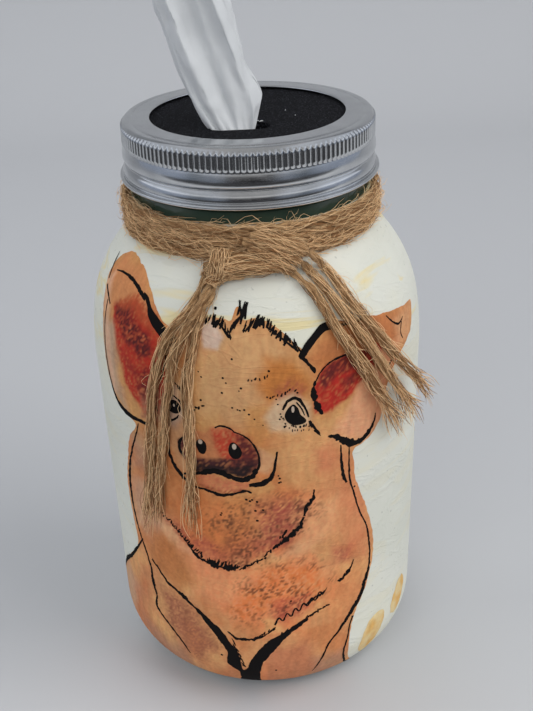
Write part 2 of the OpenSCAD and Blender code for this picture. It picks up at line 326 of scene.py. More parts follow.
def tinplate():
    m, t, p = material("tinplate", (0.52, 0.53, 0.54), 0.24, 1.0)
    c = node(t, "ShaderNodeTexCoord")
    sep = node(t, "ShaderNodeSeparateXYZ", {"Vector": c.outputs["Object"]})
    xx = node(t, "ShaderNodeMath", {0: sep.outputs["X"], 1: sep.outputs["X"]}, operation="MULTIPLY")
    rr = node(t, "ShaderNodeMath", {0: sep.outputs["Y"], 1: sep.outputs["Y"], 2: xx.outputs[0]},
              operation="MULTIPLY_ADD")
    r = node(t, "ShaderNodeMath", {0: rr.outputs[0], 1: 0.5}, operation="POWER")
    turn = node(t, "ShaderNodeMath", {0: sep.outputs["X"], 1: sep.outputs["Y"]}, operation="ARCTAN2")
    slow = node(t, "ShaderNodeMath", {0: turn.outputs[0], 1: 0.004}, operation="MULTIPLY")
    v = node(t, "ShaderNodeCombineXYZ", {"X": r.outputs[0], "Y": slow.outputs[0], "Z": sep.outputs["Z"]})
    brushed = node(t, "ShaderNodeTexNoise", {"Vector": v.outputs[0], "Scale": 1600.0, "Detail": 3.0})
    t.links.new(ramp(t, brushed.outputs["Fac"], [(0.3, 0.13), (0.7, 0.24)]), p.inputs["Roughness"])
    dull = node(t, "ShaderNodeTexNoise", {"Vector": c.outputs["Object"], "Scale": 140.0, "Detail": 5.0})
    t.links.new(ramp(t, dull.outputs["Fac"], [(0.35, (0.56, 0.57, 0.58)), (0.6, (0.64, 0.65, 0.66))]),
                p.inputs["Base Color"])
    bump(t, p, brushed.outputs["Fac"], 0.08, 0.0001)
    return m


def foam():
    m, t, p = material("black_foam", tone(25, 25, 29), 0.9)
    where = place_of(t)
    cell = node(t, "ShaderNodeTexNoise", {"Vector": where, "Scale": 2400.0, "Detail": 2.0})
    t.links.new(ramp(t, cell.outputs["Fac"], [(0.35, tone(8, 8, 10)), (0.58, tone(17, 17, 20)),
                                              (0.70, tone(60, 62, 68))]), p.inputs["Base Color"])
    p.inputs["Specular IOR Level"].default_value = 0.15
    bump(t, p, cell.outputs["Fac"], 0.8, 0.0005)
    return m


def glass_with_painted_shade():
    # Green tint of the glass, darkened further as painted shade for the unlit inside of the jar seen through the neck
    m, t, p = material("green_glass_painted_shade", (0.05, 0.085, 0.06), 0.08)
    p.inputs["IOR"].default_value = 1.5
    p.inputs["Transmission Weight"].default_value = 0.25
    return m


def tissue_paper_painted_shade():
    # Base colour greyer than white tissue: painted shade of the backlit sheet
    m, t, p = material("tissue_paper_painted_shade", (0.65, 0.665, 0.675), 0.95)
    where = place_of(t)
    pulp = node(t, "ShaderNodeTexNoise", {"Vector": where, "Scale": 700.0, "Detail": 4.0})
    bump(t, p, pulp.outputs["Fac"], 0.25, 0.0003)
    p.inputs["Sheen Weight"].default_value = 0.2
    return m


PAINT = cream_paint()
PRINT = print_paper()
TWINE = jute("jute_twine", tone(92, 62, 38), tone(222, 180, 130))
# Stray jute fibres come in a lit and a shaded copy of one colour: the dark copy is painted shade among the fibres,
# kept close to the cord
FIBRE = material("jute_fibre", tone(226, 190, 144), 0.8)[0]
FIBRE_SHADE = material("jute_fibre_painted_shade", tone(150, 110, 72), 0.85)[0]
TIN = tinplate()
FOAM = foam()
GLASS = glass_with_painted_shade()
TISSUE = tissue_paper_painted_shade()
INK = material("black_ink", tone(20, 18, 18), 0.9)[0]
INK.node_tree.nodes["Principled BSDF"].inputs["Specular IOR Level"].default_value = 0.1
for name, m in (("glass_jar", GLASS), ("paint_coat", PAINT), ("foam_insert", FOAM), ("tissue_roll", TISSUE)):
    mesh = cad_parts[name].data
    mesh.materials.clear()
    mesh.materials.append(m)


# ---------------------------------------------------------------- twine
def strand(heap, path, away, d, pitch, plies=2, sides=9, closed=False, phase=0.0, ends=None):
    """Twisted yarn of the given diameter round a path."""
    t, n, b = frames(path, away)
    if closed:
        t = np.roll(path, -1, 0) - np.roll(path, 1, 0)
        t /= np.linalg.norm(t, axis=1)[:, None]
        n = away - (away * t).sum(1)[:, None] * t
        n /= np.linalg.norm(n, axis=1)[:, None]
        b = np.cross(t, n)
    far = np.r_[0, np.cumsum(np.linalg.norm(np.diff(path, axis=0), axis=1))]
    if closed:
        whole = far[-1] + np.linalg.norm(path[0] - path[-1])
        pitch = whole / round(whole / pitch)
    seed = int(rng.integers(1000))
    for k in range(plies):
        wob = 1 + 0.16 * (noise2(np.c_[far / 0.006, np.full(len(far), 5.0 * k)], seed) - 0.5)
        if ends is not None:
            wob = wob * ends
        turn = phase + 2 * math.pi * (far / pitch + k / plies)
        off = d / 4 * wob
        c = path + (np.cos(turn) * off)[:, None] * n + (np.sin(turn) * off)[:, None] * b
        phi = 2 * math.pi * np.arange(sides) / sides
        ang = phi[None] + turn[:, None]
        lump = 1 + 0.22 * (noise2(np.stack([np.broadcast_to(far[:, None] / 0.004, ang.shape),
                                            np.broadcast_to(phi[None] * 1.9 + 9 * k, ang.shape)], -1), seed + 3) - 0.5)
        rad = (d / 4 * 1.12 * wob)[:, None] * lump
        v = c[:, None] + (np.cos(ang) * rad)[..., None] * n[:, None] + (np.sin(ang) * rad)[..., None] * b[:, None]
        g = np.stack([np.broadcast_to(far[:, None] / MM, ang.shape),
                      np.broadcast_to(phi[None], ang.shape), np.full(ang.shape, 3.0 * k + seed % 17)], -1)
        faces = ring_faces(len(path), sides, closed)
        heap.add(v.reshape(-1, 3), faces, g.reshape(-1, 3))


def hair(heap, points, r):
    """A thin three-sided fibre through the points, tapering to its ends."""
    p = np.asarray(points)
    t = np.gradient(p, axis=0)
    t /= np.linalg.norm(t, axis=1)[:, None] + 1e-12
    ref = np.where(np.abs(t[:, 2:3]) < 0.9, [[0, 0, 1.0]], [[1.0, 0, 0]])
    n = np.cross(t, ref)
    n /= np.linalg.norm(n, axis=1)[:, None]
    b = np.cross(t, n)
    rad = r * np.clip(np.sin(np.linspace(0.12, math.pi - 0.12, len(p))) * 1.6, 0.25, 1)
    phi = 2 * math.pi * np.arange(3) / 3
    v = p[:, None] + (np.cos(phi)[None] * rad[:, None])[..., None] * n[:, None] \
        + (np.sin(phi)[None] * rad[:, None])[..., None] * b[:, None]
    heap.add(v.reshape(-1, 3), ring_faces(len(p), 3))


def fuzz(heap, path, away, count, d, long, stray, r=0.00006, closed=False):
    """Loose fibres that run along a path and stray from it."""
    t, n, b = frames(path, away)
    step = np.linalg.norm(path[1] - path[0])
    for _ in range(count):
        length = rng.uniform(*long)
        m = max(6, int(length / 0.0015))
        i0 = rng.integers(0, len(path)) if closed else rng.integers(0, max(1, len(path) - int(length * 0.7 / step)))
        idx = i0 + np.linspace(0, length / step, m)
        idx = idx % len(path) if closed else np.minimum(idx, len(path) - 1)
        i = idx.astype(int)
        a0, a1 = rng.uniform(0, 2 * math.pi), rng.normal(0, 1.7)
        u = np.linspace(0, 1, m)
        lift = d / 2 * rng.uniform(0.85, 1.05) \
            + stray * rng.random() ** 2 * np.sin(math.pi * u ** rng.uniform(0.6, 1.6))
        if rng.random() < 0.3:
            lift = d / 2 + stray * rng.uniform(0.4, 1.3) * u ** 1.6
        ang = a0 + a1 * u
        wave = rng.normal(0, 0.2, 2) * MM
        p = path[i] + (np.cos(ang) * lift + wave[0] * np.sin(9 * u))[:, None] * n[i] \
            + (np.sin(ang) * lift + wave[1] * np.cos(7 * u))[:, None] * b[i]
        hair(heap, p, r * rng.uniform(0.7, 1.4))


def brush(heap, path, away, count, d, long, spread, r=0.00007):
    """Frayed end: fibres that leave the last stretch of a path and spread."""
    t, n, b = frames(path, away)
    for _ in range(count):
        back = rng.uniform(0.2, 1.0)
        i0 = int((len(path) - 1) * (1 - 0.16 * back))
        ang = rng.uniform(0, 2 * math.pi)
        out = np.cos(ang) * n[i0] * 0.45 + np.sin(ang) * b[i0]
        start = path[i0] + out * d * 0.4 * rng.random()
        length = rng.uniform(*long)
        u = np.linspace(0, 1, 9)[:, None]
        droop = np.array([0, 0, -1.0]) * rng.uniform(-0.05, 0.25) * length
        bow = rng.normal(0, 0.06, 3) * length
        p = start + t[i0] * length * u + out * spread * rng.random() * u ** 1.5 + droop * u ** 2 \
            + bow * np.sin(math.pi * u)
        hair(heap, p, r * rng.uniform(0.7, 1.3))


TAILS = {
    "left_outer": (0.0757, [
        [-19, 141, 2], [-21, 136.5, 1.8], [-24.5, 132, 1.6], [-28.5, 128, 1.5], [-31, 123, 1.4],
        [-33, 117.5, 1.4], [-34.5, 112, 1.4], [-36, 106, 1.4], [-37, 100, 1.4], [-38, 94, 1.4],
        [-39, 88, 1.5], [-40, 82, 1.6], [-41.5, 76, 1.7], [-42.5, 71, 2]]),
    "left_middle": (0.0698, [
        [-16, 140, 4.1], [-18.5, 136, 4], [-21.5, 131.5, 3.5], [-24.5, 126.5, 2.7], [-27, 121.5, 2],
        [-28.5, 116.5, 1.5], [-29.5, 111, 1.4], [-31, 105, 1.4], [-32, 99, 1.4], [-33.5, 93, 1.4],
        [-35, 87, 1.4], [-36, 81, 1.5], [-37.5, 75, 1.6]]),
    "left_inner": (0.0674, [
        [-14, 141, 1.8], [-16, 137, 1.5], [-18.5, 133, 1.5], [-20, 128, 1.4], [-21, 122.5, 1.4],
        [-22.5, 117, 1.4], [-23, 111, 1.4], [-23, 105, 1.4], [-23, 99, 1.4], [-23.5, 93, 1.4],
        [-24, 87, 1.4], [-24.5, 82, 1.5], [-24.5, 77, 1.6]]),
    "right_lower": (0.0500, [
        [14, 141.5, 2], [18, 139, 1.7], [21.5, 135.5, 1.5], [24, 131, 1.5], [26.5, 126.5, 1.5],
        [29, 122, 1.5], [32, 117.5, 1.5], [35, 113, 1.6], [37.5, 108.5, 2], [40.5, 104, 2.6],
        [43.5, 100, 3.2]]),
    "right_middle": (0.0532, [
        [17.5, 144, 1.3], [21, 141.5, 1.5], [24.5, 138, 1.5], [27.5, 134, 1.5], [30.5, 129.5, 1.5],
        [33.5, 125, 1.5], [36.5, 120.5, 1.8], [39.5, 115.5, 2.3], [42.5, 110.5, 3], [46, 105.5, 3.6],
        [50, 100.5, 4.2]]),
    "right_upper": (0.0546, [
        [20.5, 146.5, 1.3], [24.5, 144, 1.4], [28, 141, 1.5], [31, 137, 1.5], [33.5, 132.5, 1.5],
        [36.5, 128, 1.8], [39.5, 123.5, 2.3], [43, 118.5, 3], [47, 113.5, 3.8], [51.5, 108.5, 4.6],
        [56.5, 104, 5.4]]),
}
TWINE_D = 2.2 * MM
for name, (length, route) in TAILS.items():
    path = curve(on_jar(route), 0.0006)
    away = outward(path)
    core = Heap()
    taper = np.clip((len(path) - 1 - np.arange(len(path))) / 16, 0.75, 1)
    strand(core, path, away, TWINE_D * 0.92, 0.0115, phase=rng.uniform(0, 6), ends=taper)
    tail = core.make("twine_cord_" + name, TWINE, "jar", "Grain")
    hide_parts("twine_tail_" + name)
    loose = Heap()
    shade = Heap()
    fuzz(loose, path, away, 46, TWINE_D, (0.010, 0.034), 0.0012, 0.00008)
    fuzz(loose, path, away, 44, TWINE_D, (0.004, 0.012), 0.0026, 0.00006)
    # Darker fibre copy close to the cord and in the frayed end: painted shade
    fuzz(shade, path, away, 46, TWINE_D, (0.010, 0.034), 0.0006, 0.00009)
    spread = 0.0045 if name.startswith("right") else 0.0026
    brush(loose, path, away, 36, TWINE_D, (0.009, 0.016), spread, 0.00009)
    brush(shade, path, away, 26, TWINE_D, (0.009, 0.015), spread, 0.00009)
    fray = loose.make("twine_fray_" + name, FIBRE, "jar")
    fray_painted_shade = shade.make("twine_fray_painted_shade_" + name, FIBRE_SHADE, "jar")

# Three strands, each wound twice round the neck
turns_fuzz, shade_fuzz = Heap(), Heap()
for index, label in enumerate(("lower", "middle", "upper")):
    wrap = Heap()
    for turn in (index, index + 3):
        a = np.linspace(0, 2 * math.pi, 361)[:-1]
        seed = 40 + turn
        ring = np.c_[np.cos(a), np.sin(a)] * 2.2
        r = 35.0 + (0 if turn % 2 == 0 else 0.45) + 0.5 * (noise2(ring + 20, seed) - 0.5)
        z = 144.9 + turn * 1.6 + (1.3 - 0.15 * turn) * (noise2(ring + 50, seed + 9) - 0.5)
        path = np.c_[r * np.sin(a), -r * np.cos(a), z] * MM
        strand(wrap, path, outward(path), 2.2 * MM, 0.0125, sides=10, closed=True, phase=rng.uniform(0, 6))
        fuzz(turns_fuzz, path, outward(path), 380, 0.0022, (0.004, 0.016), 0.0014, 0.00006, closed=True)
        fuzz(turns_fuzz, path, outward(path), 260, 0.0022, (0.003, 0.009), 0.0027, 0.00006, closed=True)
        # Darker fibre copy close to the coils: painted shade
        fuzz(shade_fuzz, path, outward(path), 300, 0.0022, (0.005, 0.018), 0.0007, 0.00008, closed=True)
    coil = wrap.make("twine_coil_" + label, TWINE, "jar", "Grain")
    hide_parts("twine_strand_" + label)
coil_fuzz = turns_fuzz.make("twine_coil_fibres", FIBRE, "jar")
coil_shade = shade_fuzz.make("twine_coil_fibres_painted_shade", FIBRE_SHADE, "jar")

# The knot: doubled loops tied over the front, with leads that run on into the tails
knot = Heap()
knot_fuzz, knot_shade = Heap(), Heap()
knot_lines = [
    [[-20, 142.4, 1.0], [-17.4, 144.6, 1.3], [-11, 146, 1.4], [-3, 146.4, 1.4], [4, 146, 1.4], [9, 144.6, 1.6],
     [9, 143, 2.0], [3, 142.4, 2.4], [-6, 142, 2.6], [-13, 141.6, 2.4], [-18.6, 141.6, 1.8]],
    [[-18, 142, 2.2], [-12, 143.8, 2.8], [-4, 144.4, 3.0], [4, 144.2, 2.8], [10, 143.2, 2.2]],
    [[-16, 139.8, 2.0], [-15.4, 141.4, 3.8], [-14.6, 143.6, 3.6], [-14, 146, 1.8], [-13.6, 148, 0.6]],
    [[-13.6, 140, 2.0], [-13, 141.4, 3.9], [-12, 143.6, 3.8], [-11.4, 146.2, 2.0], [-11, 148.4, 0.6]],
    [[-2, 148.6, 0.5], [3, 147.6, 1.2], [8, 145.6, 1.6], [11.6, 143.6, 2], [14, 141.5, 2]],
    [[-4, 150.6, 0.4], [2, 149.8, 0.9], [8, 148, 1.4], [13, 146, 1.4], [17.5, 144, 1.3]],
    [[-1, 152.2, 0.2], [6, 151.2, 0.7], [12, 149.4, 1.2], [16.8, 148, 1.3], [20.5, 146.5, 1.3]],
    [[-9, 144.4, 2.8], [-14, 143.4, 2.6], [-18, 142.4, 2.2], [-19, 141, 2]],
    [[-7, 142.6, 3.6], [-11, 142, 4.0], [-15, 141, 4.1], [-16, 140, 4.1]],
    [[-4, 141.8, 2.8], [-9, 141.8, 2.6], [-12.5, 141.6, 2.2], [-14, 141, 1.8]],
]
for line in knot_lines:
    path = curve(on_jar(line), 0.0006)
    strand(knot, path, outward(path), 2.1 * MM, 0.011, phase=rng.uniform(0, 6))
    fuzz(knot_fuzz, path, outward(path), 55, 0.0022, (0.005, 0.016), 0.0014, 0.00006)
    # Darker fibre copy close to the knot: painted shade
    fuzz(knot_shade, path, outward(path), 40, 0.0021, (0.005, 0.016), 0.0007, 0.00009)
bow = knot.make("twine_knot_loops", TWINE, "jar", "Grain")
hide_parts("twine_knot")
bow_fuzz = knot_fuzz.make("twine_knot_fibres", FIBRE, "jar")
bow_shade = knot_shade.make("twine_knot_fibres_painted_shade", FIBRE_SHADE, "jar")

# ---------------------------------------------------------------- screw band
# Half section from the opening's lip, over the top, down the outside and back up the inside: [radius, height]
band_line = [
    [27.25, 173.35], [27.02, 173.5], [26.98, 173.75], [27.12, 173.98], [27.5, 174.08], [28.3, 174.06],
    [30, 174.0], [31.7, 173.95], [32.0, 173.9], [32.15, 173.76], [32.35, 173.74], [32.6, 173.86], [33.2, 173.86],
    [33.7, 173.78], [34.15, 173.58], [34.5, 173.25], [34.68, 172.9], [34.76, 172.5], [34.76, 171.5], [34.76, 170.5],
    [34.76, 169.6], [34.76, 168.6], [34.76, 168.0], [34.8, 167.7], [34.94, 167.2], [35.07, 166.6], [35.19, 166.0],
    [35.29, 165.4], [35.36, 164.8], [35.36, 164.2], [35.22, 163.7], [34.92, 163.25], [34.55, 162.9], [34.4, 162.65],
    [34.42, 162.4], [34.6, 162.2], [34.85, 161.95], [35.06, 161.5], [35.2, 161.0], [35.3, 160.4], [35.36, 159.9],
    [35.32, 159.7], [35.15, 159.55], [35.02, 159.4], [35.0, 159.2], [35.1, 159.02], [35.4, 158.98],
    [35.75, 159.04], [36.1, 158.95], [36.3, 158.7], [36.34, 158.4], [36.22, 158.1], [35.95, 157.9],
    [35.65, 157.88], [35.4, 158.05], [35.25, 158.3], [34.9, 158.6], [34.42, 159.2], [34.25, 161], [34.2, 162.5],
    [34.3, 164], [34.38, 169], [34.38, 172.2], [34.1, 173.0], [33.4, 173.45], [30, 173.5],
]
around = 140 * 8
a = 2 * math.pi * np.arange(around) / around
flute = 0.5 + 0.5 * np.cos(140 * a)
band = Heap()
rows = []
for r, z in band_line:
    outer = r > 34.72 and 167.9 < z < 173.0
    lift = 0.4 if outer else 0.0
    rr = r + lift * np.minimum(1, 1.25 * flute) ** 0.7
    dent = 0.03 * (fbm(np.c_[np.cos(a), np.sin(a)] * 3 + z * 0.05, 5) - 0.5)
    slant = 0.4 * (a / math.pi - 1) if 159.6 < z < 163.3 and r > 34.38 else 0.0
    rows.append(np.stack([(rr + dent) * np.sin(a + math.pi), -(rr + dent) * np.cos(a + math.pi),
                          np.broadcast_to(z + slant * 0.5, a.shape)], -1))
band.add(np.stack(rows).reshape(-1, 3) * MM, ring_faces(len(rows), around, True))
band_obj = band.make("tin_screw_band", TIN, "band")
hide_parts("screw_band")

# ---------------------------------------------------------------- crumbs of lint on the foam
lint = Heap()
for x, y, turn, long in ((2.5, -7.8, 0.2, 1.0), (3.6, -8.4, -0.5, 1.2), (1.9, -8.8, -0.8, 0.9),
                         (10.5, 1.5, 1.2, 0.3), (13, -4, 2.0, 0.25)):
    u = np.linspace(-0.5, 0.5, 6)
    c = np.array([x, y, 173.15])
    p = c + np.outer(u * long, [math.cos(turn), -math.sin(turn), 0]) + np.outer(0.25 - u ** 2, [0, 0, 0.5])
    hair(lint, p * MM, 0.00016)
lint_obj = lint.make("lint_crumbs", TISSUE, "insert")


# ---------------------------------------------------------------- the printed pig
def inside(poly, p):
    """Signed distance from points to a closed outline, negative inside."""
    poly = np.asarray(poly, float)
    q = np.roll(poly, -1, 0)
    best = np.full(len(p), 1e9)
    hit = np.zeros(len(p), bool)
    for a0, b0 in zip(poly, q):
        d = b0 - a0
        t = np.clip(((p - a0) @ d) / (d @ d + 1e-12), 0, 1)
        best = np.minimum(best, np.hypot(*(p - a0 - t[:, None] * d).T))
        cross = (a0[1] > p[:, 1]) != (b0[1] > p[:, 1])
        at = a0[0] + (p[:, 1] - a0[1]) / (b0[1] - a0[1] + 1e-12) * d[0]
        hit ^= cross & (p[:, 0] < at)
    return np.where(hit, -best, best)


def patch(heap, outline, cell, off, value=None, edge=None):
    """A patch that lies on the side inside an outline of [distance round the front, height]."""
    outline = np.asarray(outline, float)
    lo, hi = outline.min(0) - cell, outline.max(0) + cell
    xs, zs = np.arange(lo[0], hi[0] + cell, cell), np.arange(lo[1], hi[1] + cell, cell)
    gx, gz = np.meshgrid(xs, zs)
    p = np.stack([gx.ravel(), gz.ravel()], 1)
    w = len(xs)
    d = inside(outline, p)
    i = np.arange(len(zs) - 1)[:, None] * w + np.arange(w - 1)[None]
    quads = np.stack([i, i + 1, i + w + 1, i + w], -1).reshape(-1, 4)
    keep = quads[(d[quads].mean(1) < 0) & ((d[quads] < 0).sum(1) >= 2)]
    used, back = np.unique(keep, return_inverse=True)
    keep = back.reshape(-1, 4)
    p, d = p[used], d[used]
    edges = np.sort(np.stack([keep, np.roll(keep, -1, 1)], -1).reshape(-1, 2), 1)
    code, count = np.unique(edges[:, 0] * len(p) + edges[:, 1], return_counts=True)
    rim = np.unique(np.r_[code[count == 1] // len(p), code[count == 1] % len(p)])
    q = np.roll(outline, -1, 0)
    best, near = np.full(len(rim), 1e9), p[rim].copy()
    for a0, b0 in zip(outline, q):
        e = b0 - a0
        t = np.clip(((p[rim] - a0) @ e) / (e @ e + 1e-12), 0, 1)
        c = a0 + t[:, None] * e
        far = np.hypot(*(p[rim] - c).T)
        near[far < best] = c[far < best]
        best = np.minimum(best, far)
    p[rim] = near
    height = np.full(len(p), off, float)
    height[rim] = off if edge is None else edge
    heap.add(place(p[:, 0], p[:, 1], height), keep, None if value is None else value(p))


def soft(points, step=0.7, jitter=0.0, seed=0):
    """Closed smooth outline through the points, with a little roughness."""
    c = curve(points, step, closed=True)[:-1]
    if jitter:
        t = np.gradient(c, axis=0)
        t /= np.linalg.norm(t, axis=1)[:, None] + 1e-9
        c = c + np.stack([t[:, 1], -t[:, 0]], 1) * ((fbm(c / 1.5, seed, 3) - 0.5) * 2 * jitter)[:, None]
    return c


PIG = [
    [-46, 97.5], [-50, 100], [-52.5, 106], [-54.5, 114], [-56, 121], [-58.5, 128], [-61, 133.5], [-59.5, 138],
    [-55, 140.5], [-50, 141], [-45, 140], [-40, 138.3], [-35, 134.8], [-31, 131], [-27, 128.2], [-22, 127.6],
    [-18, 129.5], [-14.5, 131.5], [-10, 131.5], [-7.5, 131], [-6, 134], [-4.8, 134], [-4, 131.2], [0, 131.5],
    [4, 130], [8, 126.8], [11.5, 123], [13, 121.5], [15.5, 124.5], [19.5, 127.5], [24, 127.8], [31, 126.8],
    [38, 125.8], [46, 124.5], [52, 123.5], [58, 122.8], [57, 119.5], [54.8, 115.5], [50, 112.8], [45.5, 110.8],
    [41.5, 107], [39.3, 103], [38.5, 98.5], [37.3, 95], [34.5, 91.5], [30.5, 89.5], [27, 88.5], [27.2, 84],
    [27.8, 79], [29.8, 73], [32.2, 67], [34.4, 60], [35.6, 53], [35.2, 46], [33.4, 39.5], [31.3, 34.5],
    [28.8, 30.5], [27.4, 26], [26.4, 21], [26.2, 15], [27.8, 10], [30.5, 6.8], [34, 4.2], [20, 3.4], [0, 3.2],
    [-20, 3.2], [-40, 4], [-56, 6], [-68, 10], [-73, 16], [-73, 24], [-67, 29.5], [-62, 34], [-56, 40],
    [-51, 45], [-47.2, 50.5], [-48, 58], [-49, 66], [-48.6, 74], [-46.4, 82], [-44, 89.5], [-40, 95],
]


def colour_pig(p):
    """Watercolour washes of the pig at points of [distance round the front, height]."""
    wander = (np.stack([fbm(p / 6, 3), fbm(p / 6 + 40, 4)], 1) - 0.5) * 5
    q = p + wander
    fine = fbm(p / 0.55, 9, 3)
    col = np.tile(tone(180, 128, 88), (len(p), 1))

    def wash(shape, rgb, weight, blur=3.0, speckle=0.0, rough=1.0):
        nonlocal col
        d = inside(np.asarray(shape, float), p + wander * rough)
        w = np.clip(0.5 - d / blur, 0, 1)
        w = w * w * (3 - 2 * w) * weight
        if speckle:
            w = w * np.clip(1 + speckle * (fine - 0.5) * 6, 0, 1.6)
        w = np.clip(w, 0, 1)[:, None]
        col = col * (1 - w) + tone(*rgb) * w

    broad, mid = fbm(q / 22, 21), fbm(q / 9, 22)
    for lay, lo, hi, rgb in ((broad, 0.50, 0.66, (196, 112, 72)), (mid, 0.53, 0.68, (192, 148, 100)),
                             (mid, 0.46, 0.30, (170, 104, 66))):
        w = np.clip((lay - lo) / (hi - lo), 0, 1)[:, None] * 0.6
        col = col * (1 - w) + tone(*rgb) * w
    # head
    wash([[-22, 127], [-14, 130], [6, 129], [12, 121], [14, 112], [12, 100], [0, 100], [-10, 104], [-24, 104]],
         (194, 154, 114), 0.75, 9)
    wash([[-17, 130], [-12, 131], [-9.5, 127], [-11, 123.5], [-15, 124]], (198, 178, 164), 0.8, 1.5, rough=0.3)
    wash([[1, 121], [10, 121], [14, 113], [12, 108], [4, 107], [0, 111]], (174, 106, 56), 0.8, 6)
    wash([[4, 113.5], [9, 116], [12.5, 112], [11, 109], [5, 109.5]], (150, 84, 66), 0.6, 3, 0.5, 0.5)
    wash([[-5, 108], [3, 108], [4, 100], [0, 97], [-3, 99]], (186, 132, 84), 0.7, 4)
    wash([[4, 109.5], [9, 111], [13.5, 106], [13, 101], [9, 99], [3, 100.5], [1, 104.5]], (196, 170, 142),
         0.8, 3, rough=0.3)
    wash([[-31, 112], [-23, 112], [-20, 104], [-24, 98], [-31, 100]], (170, 150, 134), 0.7, 4)
    wash([[-22, 122], [-17, 120], [-17, 108], [-22, 108]], (176, 118, 66), 0.5, 5)
    wash([[5, 98], [24, 103], [30, 92], [26, 80], [10, 80], [3, 90]], (204, 154, 110), 0.75, 8)
    wash([[15, 92], [20, 94], [23, 88], [20, 83], [15, 84]], (186, 104, 82), 0.55, 6)
    # muzzle
    wash([[-27, 98], [-22, 101], [-18, 98], [-19, 90], [-23, 84], [-27, 88]], (186, 142, 106), 0.8, 2.5)
    wash([[-2, 96], [1, 94], [4, 91], [1, 86], [-2, 87]], (192, 146, 112), 0.8, 2, rough=0.3)
    snout = [[-22.5, 92], [-22, 96.5], [-19, 99.5], [-16, 99], [-13, 101.3], [-8.5, 101.3], [-4.5, 98.5], [-1.8, 95],
             [-0.8, 91], [-2, 87], [-6, 85.2], [-10, 86.6], [-14, 86.8], [-18, 85.2], [-21, 86.5]]
    wash(snout, (176, 118, 84), 1.0, 0.5, rough=0.05)
    wash([[-14, 100.5], [-8, 101], [-4, 98.5], [-1.5, 94.5], [-2.5, 88], [-9, 88], [-13, 94]], (166, 68, 54),
         0.9, 3, 0.5, 0.3)
    wash([[-7, 99.5], [-3.5, 97.8], [-1, 94], [-1, 90], [-3, 87], [-8, 87], [-6, 92]], (84, 40, 38),
         0.92, 2.5, 0.4, 0.3)
    wash([[-20, 90.5], [-15, 90.8], [-11, 91.5], [-4, 91], [-1, 91], [-2.5, 86.8], [-7, 85.5], [-12, 87],
          [-19.5, 86]], (62, 34, 35), 0.95, 1.6, 0.35, 0.3)
    wash([[-20, 89], [-14, 88.8], [-8, 88.5], [-2.5, 89], [-5, 85.3], [-12, 86.8], [-19, 85.4]],
         (36, 25, 26), 0.9, 1.2, 0.3, 0.2)
    wash([[-24.5, 95], [-22, 97.5], [-19.8, 96], [-20, 91], [-22.5, 88.5], [-24.3, 91]], (84, 44, 40),
         0.85, 1.0, 0.4, 0.2)
    wash([[-20, 84.6], [-14, 85.6], [-9, 84.4], [-4, 83.6], [-5, 81], [-12, 79.6], [-19, 81.6]], (182, 112, 84),
         0.85, 1.2, 0.3, 0.3)
    wash([[-19, 82], [-12, 80.4], [-6, 81.4], [-4, 80.6], [-12, 78.8], [-19, 80.6]], (116, 54, 46),
         0.7, 1.2, 0.5, 0.2)
    wash([[-36, 72], [-29, 66], [-22, 58], [-24, 54], [-31, 58], [-37, 64]], (198, 158, 124), 0.55, 4)
    wash([[2, 58], [10, 64], [15, 72], [22, 74], [20, 64], [10, 57]], (202, 160, 122), 0.5, 5)
    # chin and throat
    wash([[-30, 76], [-20, 79], [-3, 78], [-3, 66], [-14, 57], [-24, 60]], (176, 106, 64), 0.75, 8)
    wash([[-34, 68], [-27, 62], [-20, 56], [-10, 54], [4, 61], [11, 70], [8, 74], [-2, 66], [-14, 60], [-26, 67]],
         (152, 78, 60), 0.7, 6, 0.4)
    wash([[-3, 74], [6, 78], [13, 76], [13, 68], [6, 62], [-1, 63]], (140, 70, 58), 0.72, 7, 0.5)
    wash([[-12, 70], [-5, 72], [-4, 60], [-7, 55], [-13, 56]], (118, 70, 48), 0.55, 5, 0.9)
    wash([[10, 76], [20, 84], [26, 74], [24, 62], [10, 62], [8, 66]], (192, 132, 94), 0.65, 6)
    wash([[-46, 74], [-36, 78], [-34, 64], [-38, 54], [-46, 58]], (172, 136, 112), 0.75, 7)
    wash([[-43, 92], [-36, 92], [-36, 80], [-44, 80]], (158, 128, 110), 0.55, 6)
    # chest
    wash([[-40, 60], [-28, 58], [-22, 46], [-30, 40], [-40, 47]], (160, 100, 60), 0.8, 8)
    wash([[-26, 56], [-6, 53], [12, 56], [20, 50], [6, 40], [-8, 34], [-22, 42]], (200, 128, 92), 0.65, 9)
    wash([[0, 54], [14, 53], [17, 46], [12, 40], [0, 39], [-8, 33], [-12, 38], [-8, 46]], (194, 112, 68),
         0.85, 6, 0.6)
    wash([[2, 42], [13, 44], [12, 38], [4, 33], [0, 36]], (162, 80, 62), 0.7, 4, 0.4)
    wash([[20, 58], [27, 57], [28, 51], [24, 49], [20, 52]], (150, 78, 62), 0.6, 5, 0.3)
    wash([[22, 92], [30, 86], [33, 62], [33, 48], [26, 56], [22, 72]], (180, 108, 78), 0.6, 7)
    wash([[16, 44], [30, 48], [32, 40], [24, 28], [16, 30]], (184, 118, 78), 0.6, 6)
    # legs and flank
    wash([[-38, 40], [-26, 36], [-16, 24], [-24, 14], [-36, 24]], (138, 86, 64), 0.8, 7, 0.3)
    wash([[-12, 24], [-18, 8], [-12, 4], [-9, 14]], (158, 96, 68), 0.5, 4)
    wash([[-3, 22], [12, 26], [16, 10], [10, 4], [-2, 4]], (166, 106, 78), 0.8, 6)
    wash([[14, 16], [24, 18], [26, 8], [18, 4], [12, 6]], (150, 116, 98), 0.6, 6)
    wash([[-72, 24], [-58, 36], [-50, 30], [-58, 16], [-72, 14]], (170, 138, 114), 0.7, 8)
    wash([[-52, 30], [-42, 44], [-42, 28], [-46, 16], [-58, 12]], (164, 100, 70), 0.6, 8)
    wash([[-50, 20], [-30, 18], [-26, 8], [-46, 6]], (136, 100, 84), 0.65, 8)
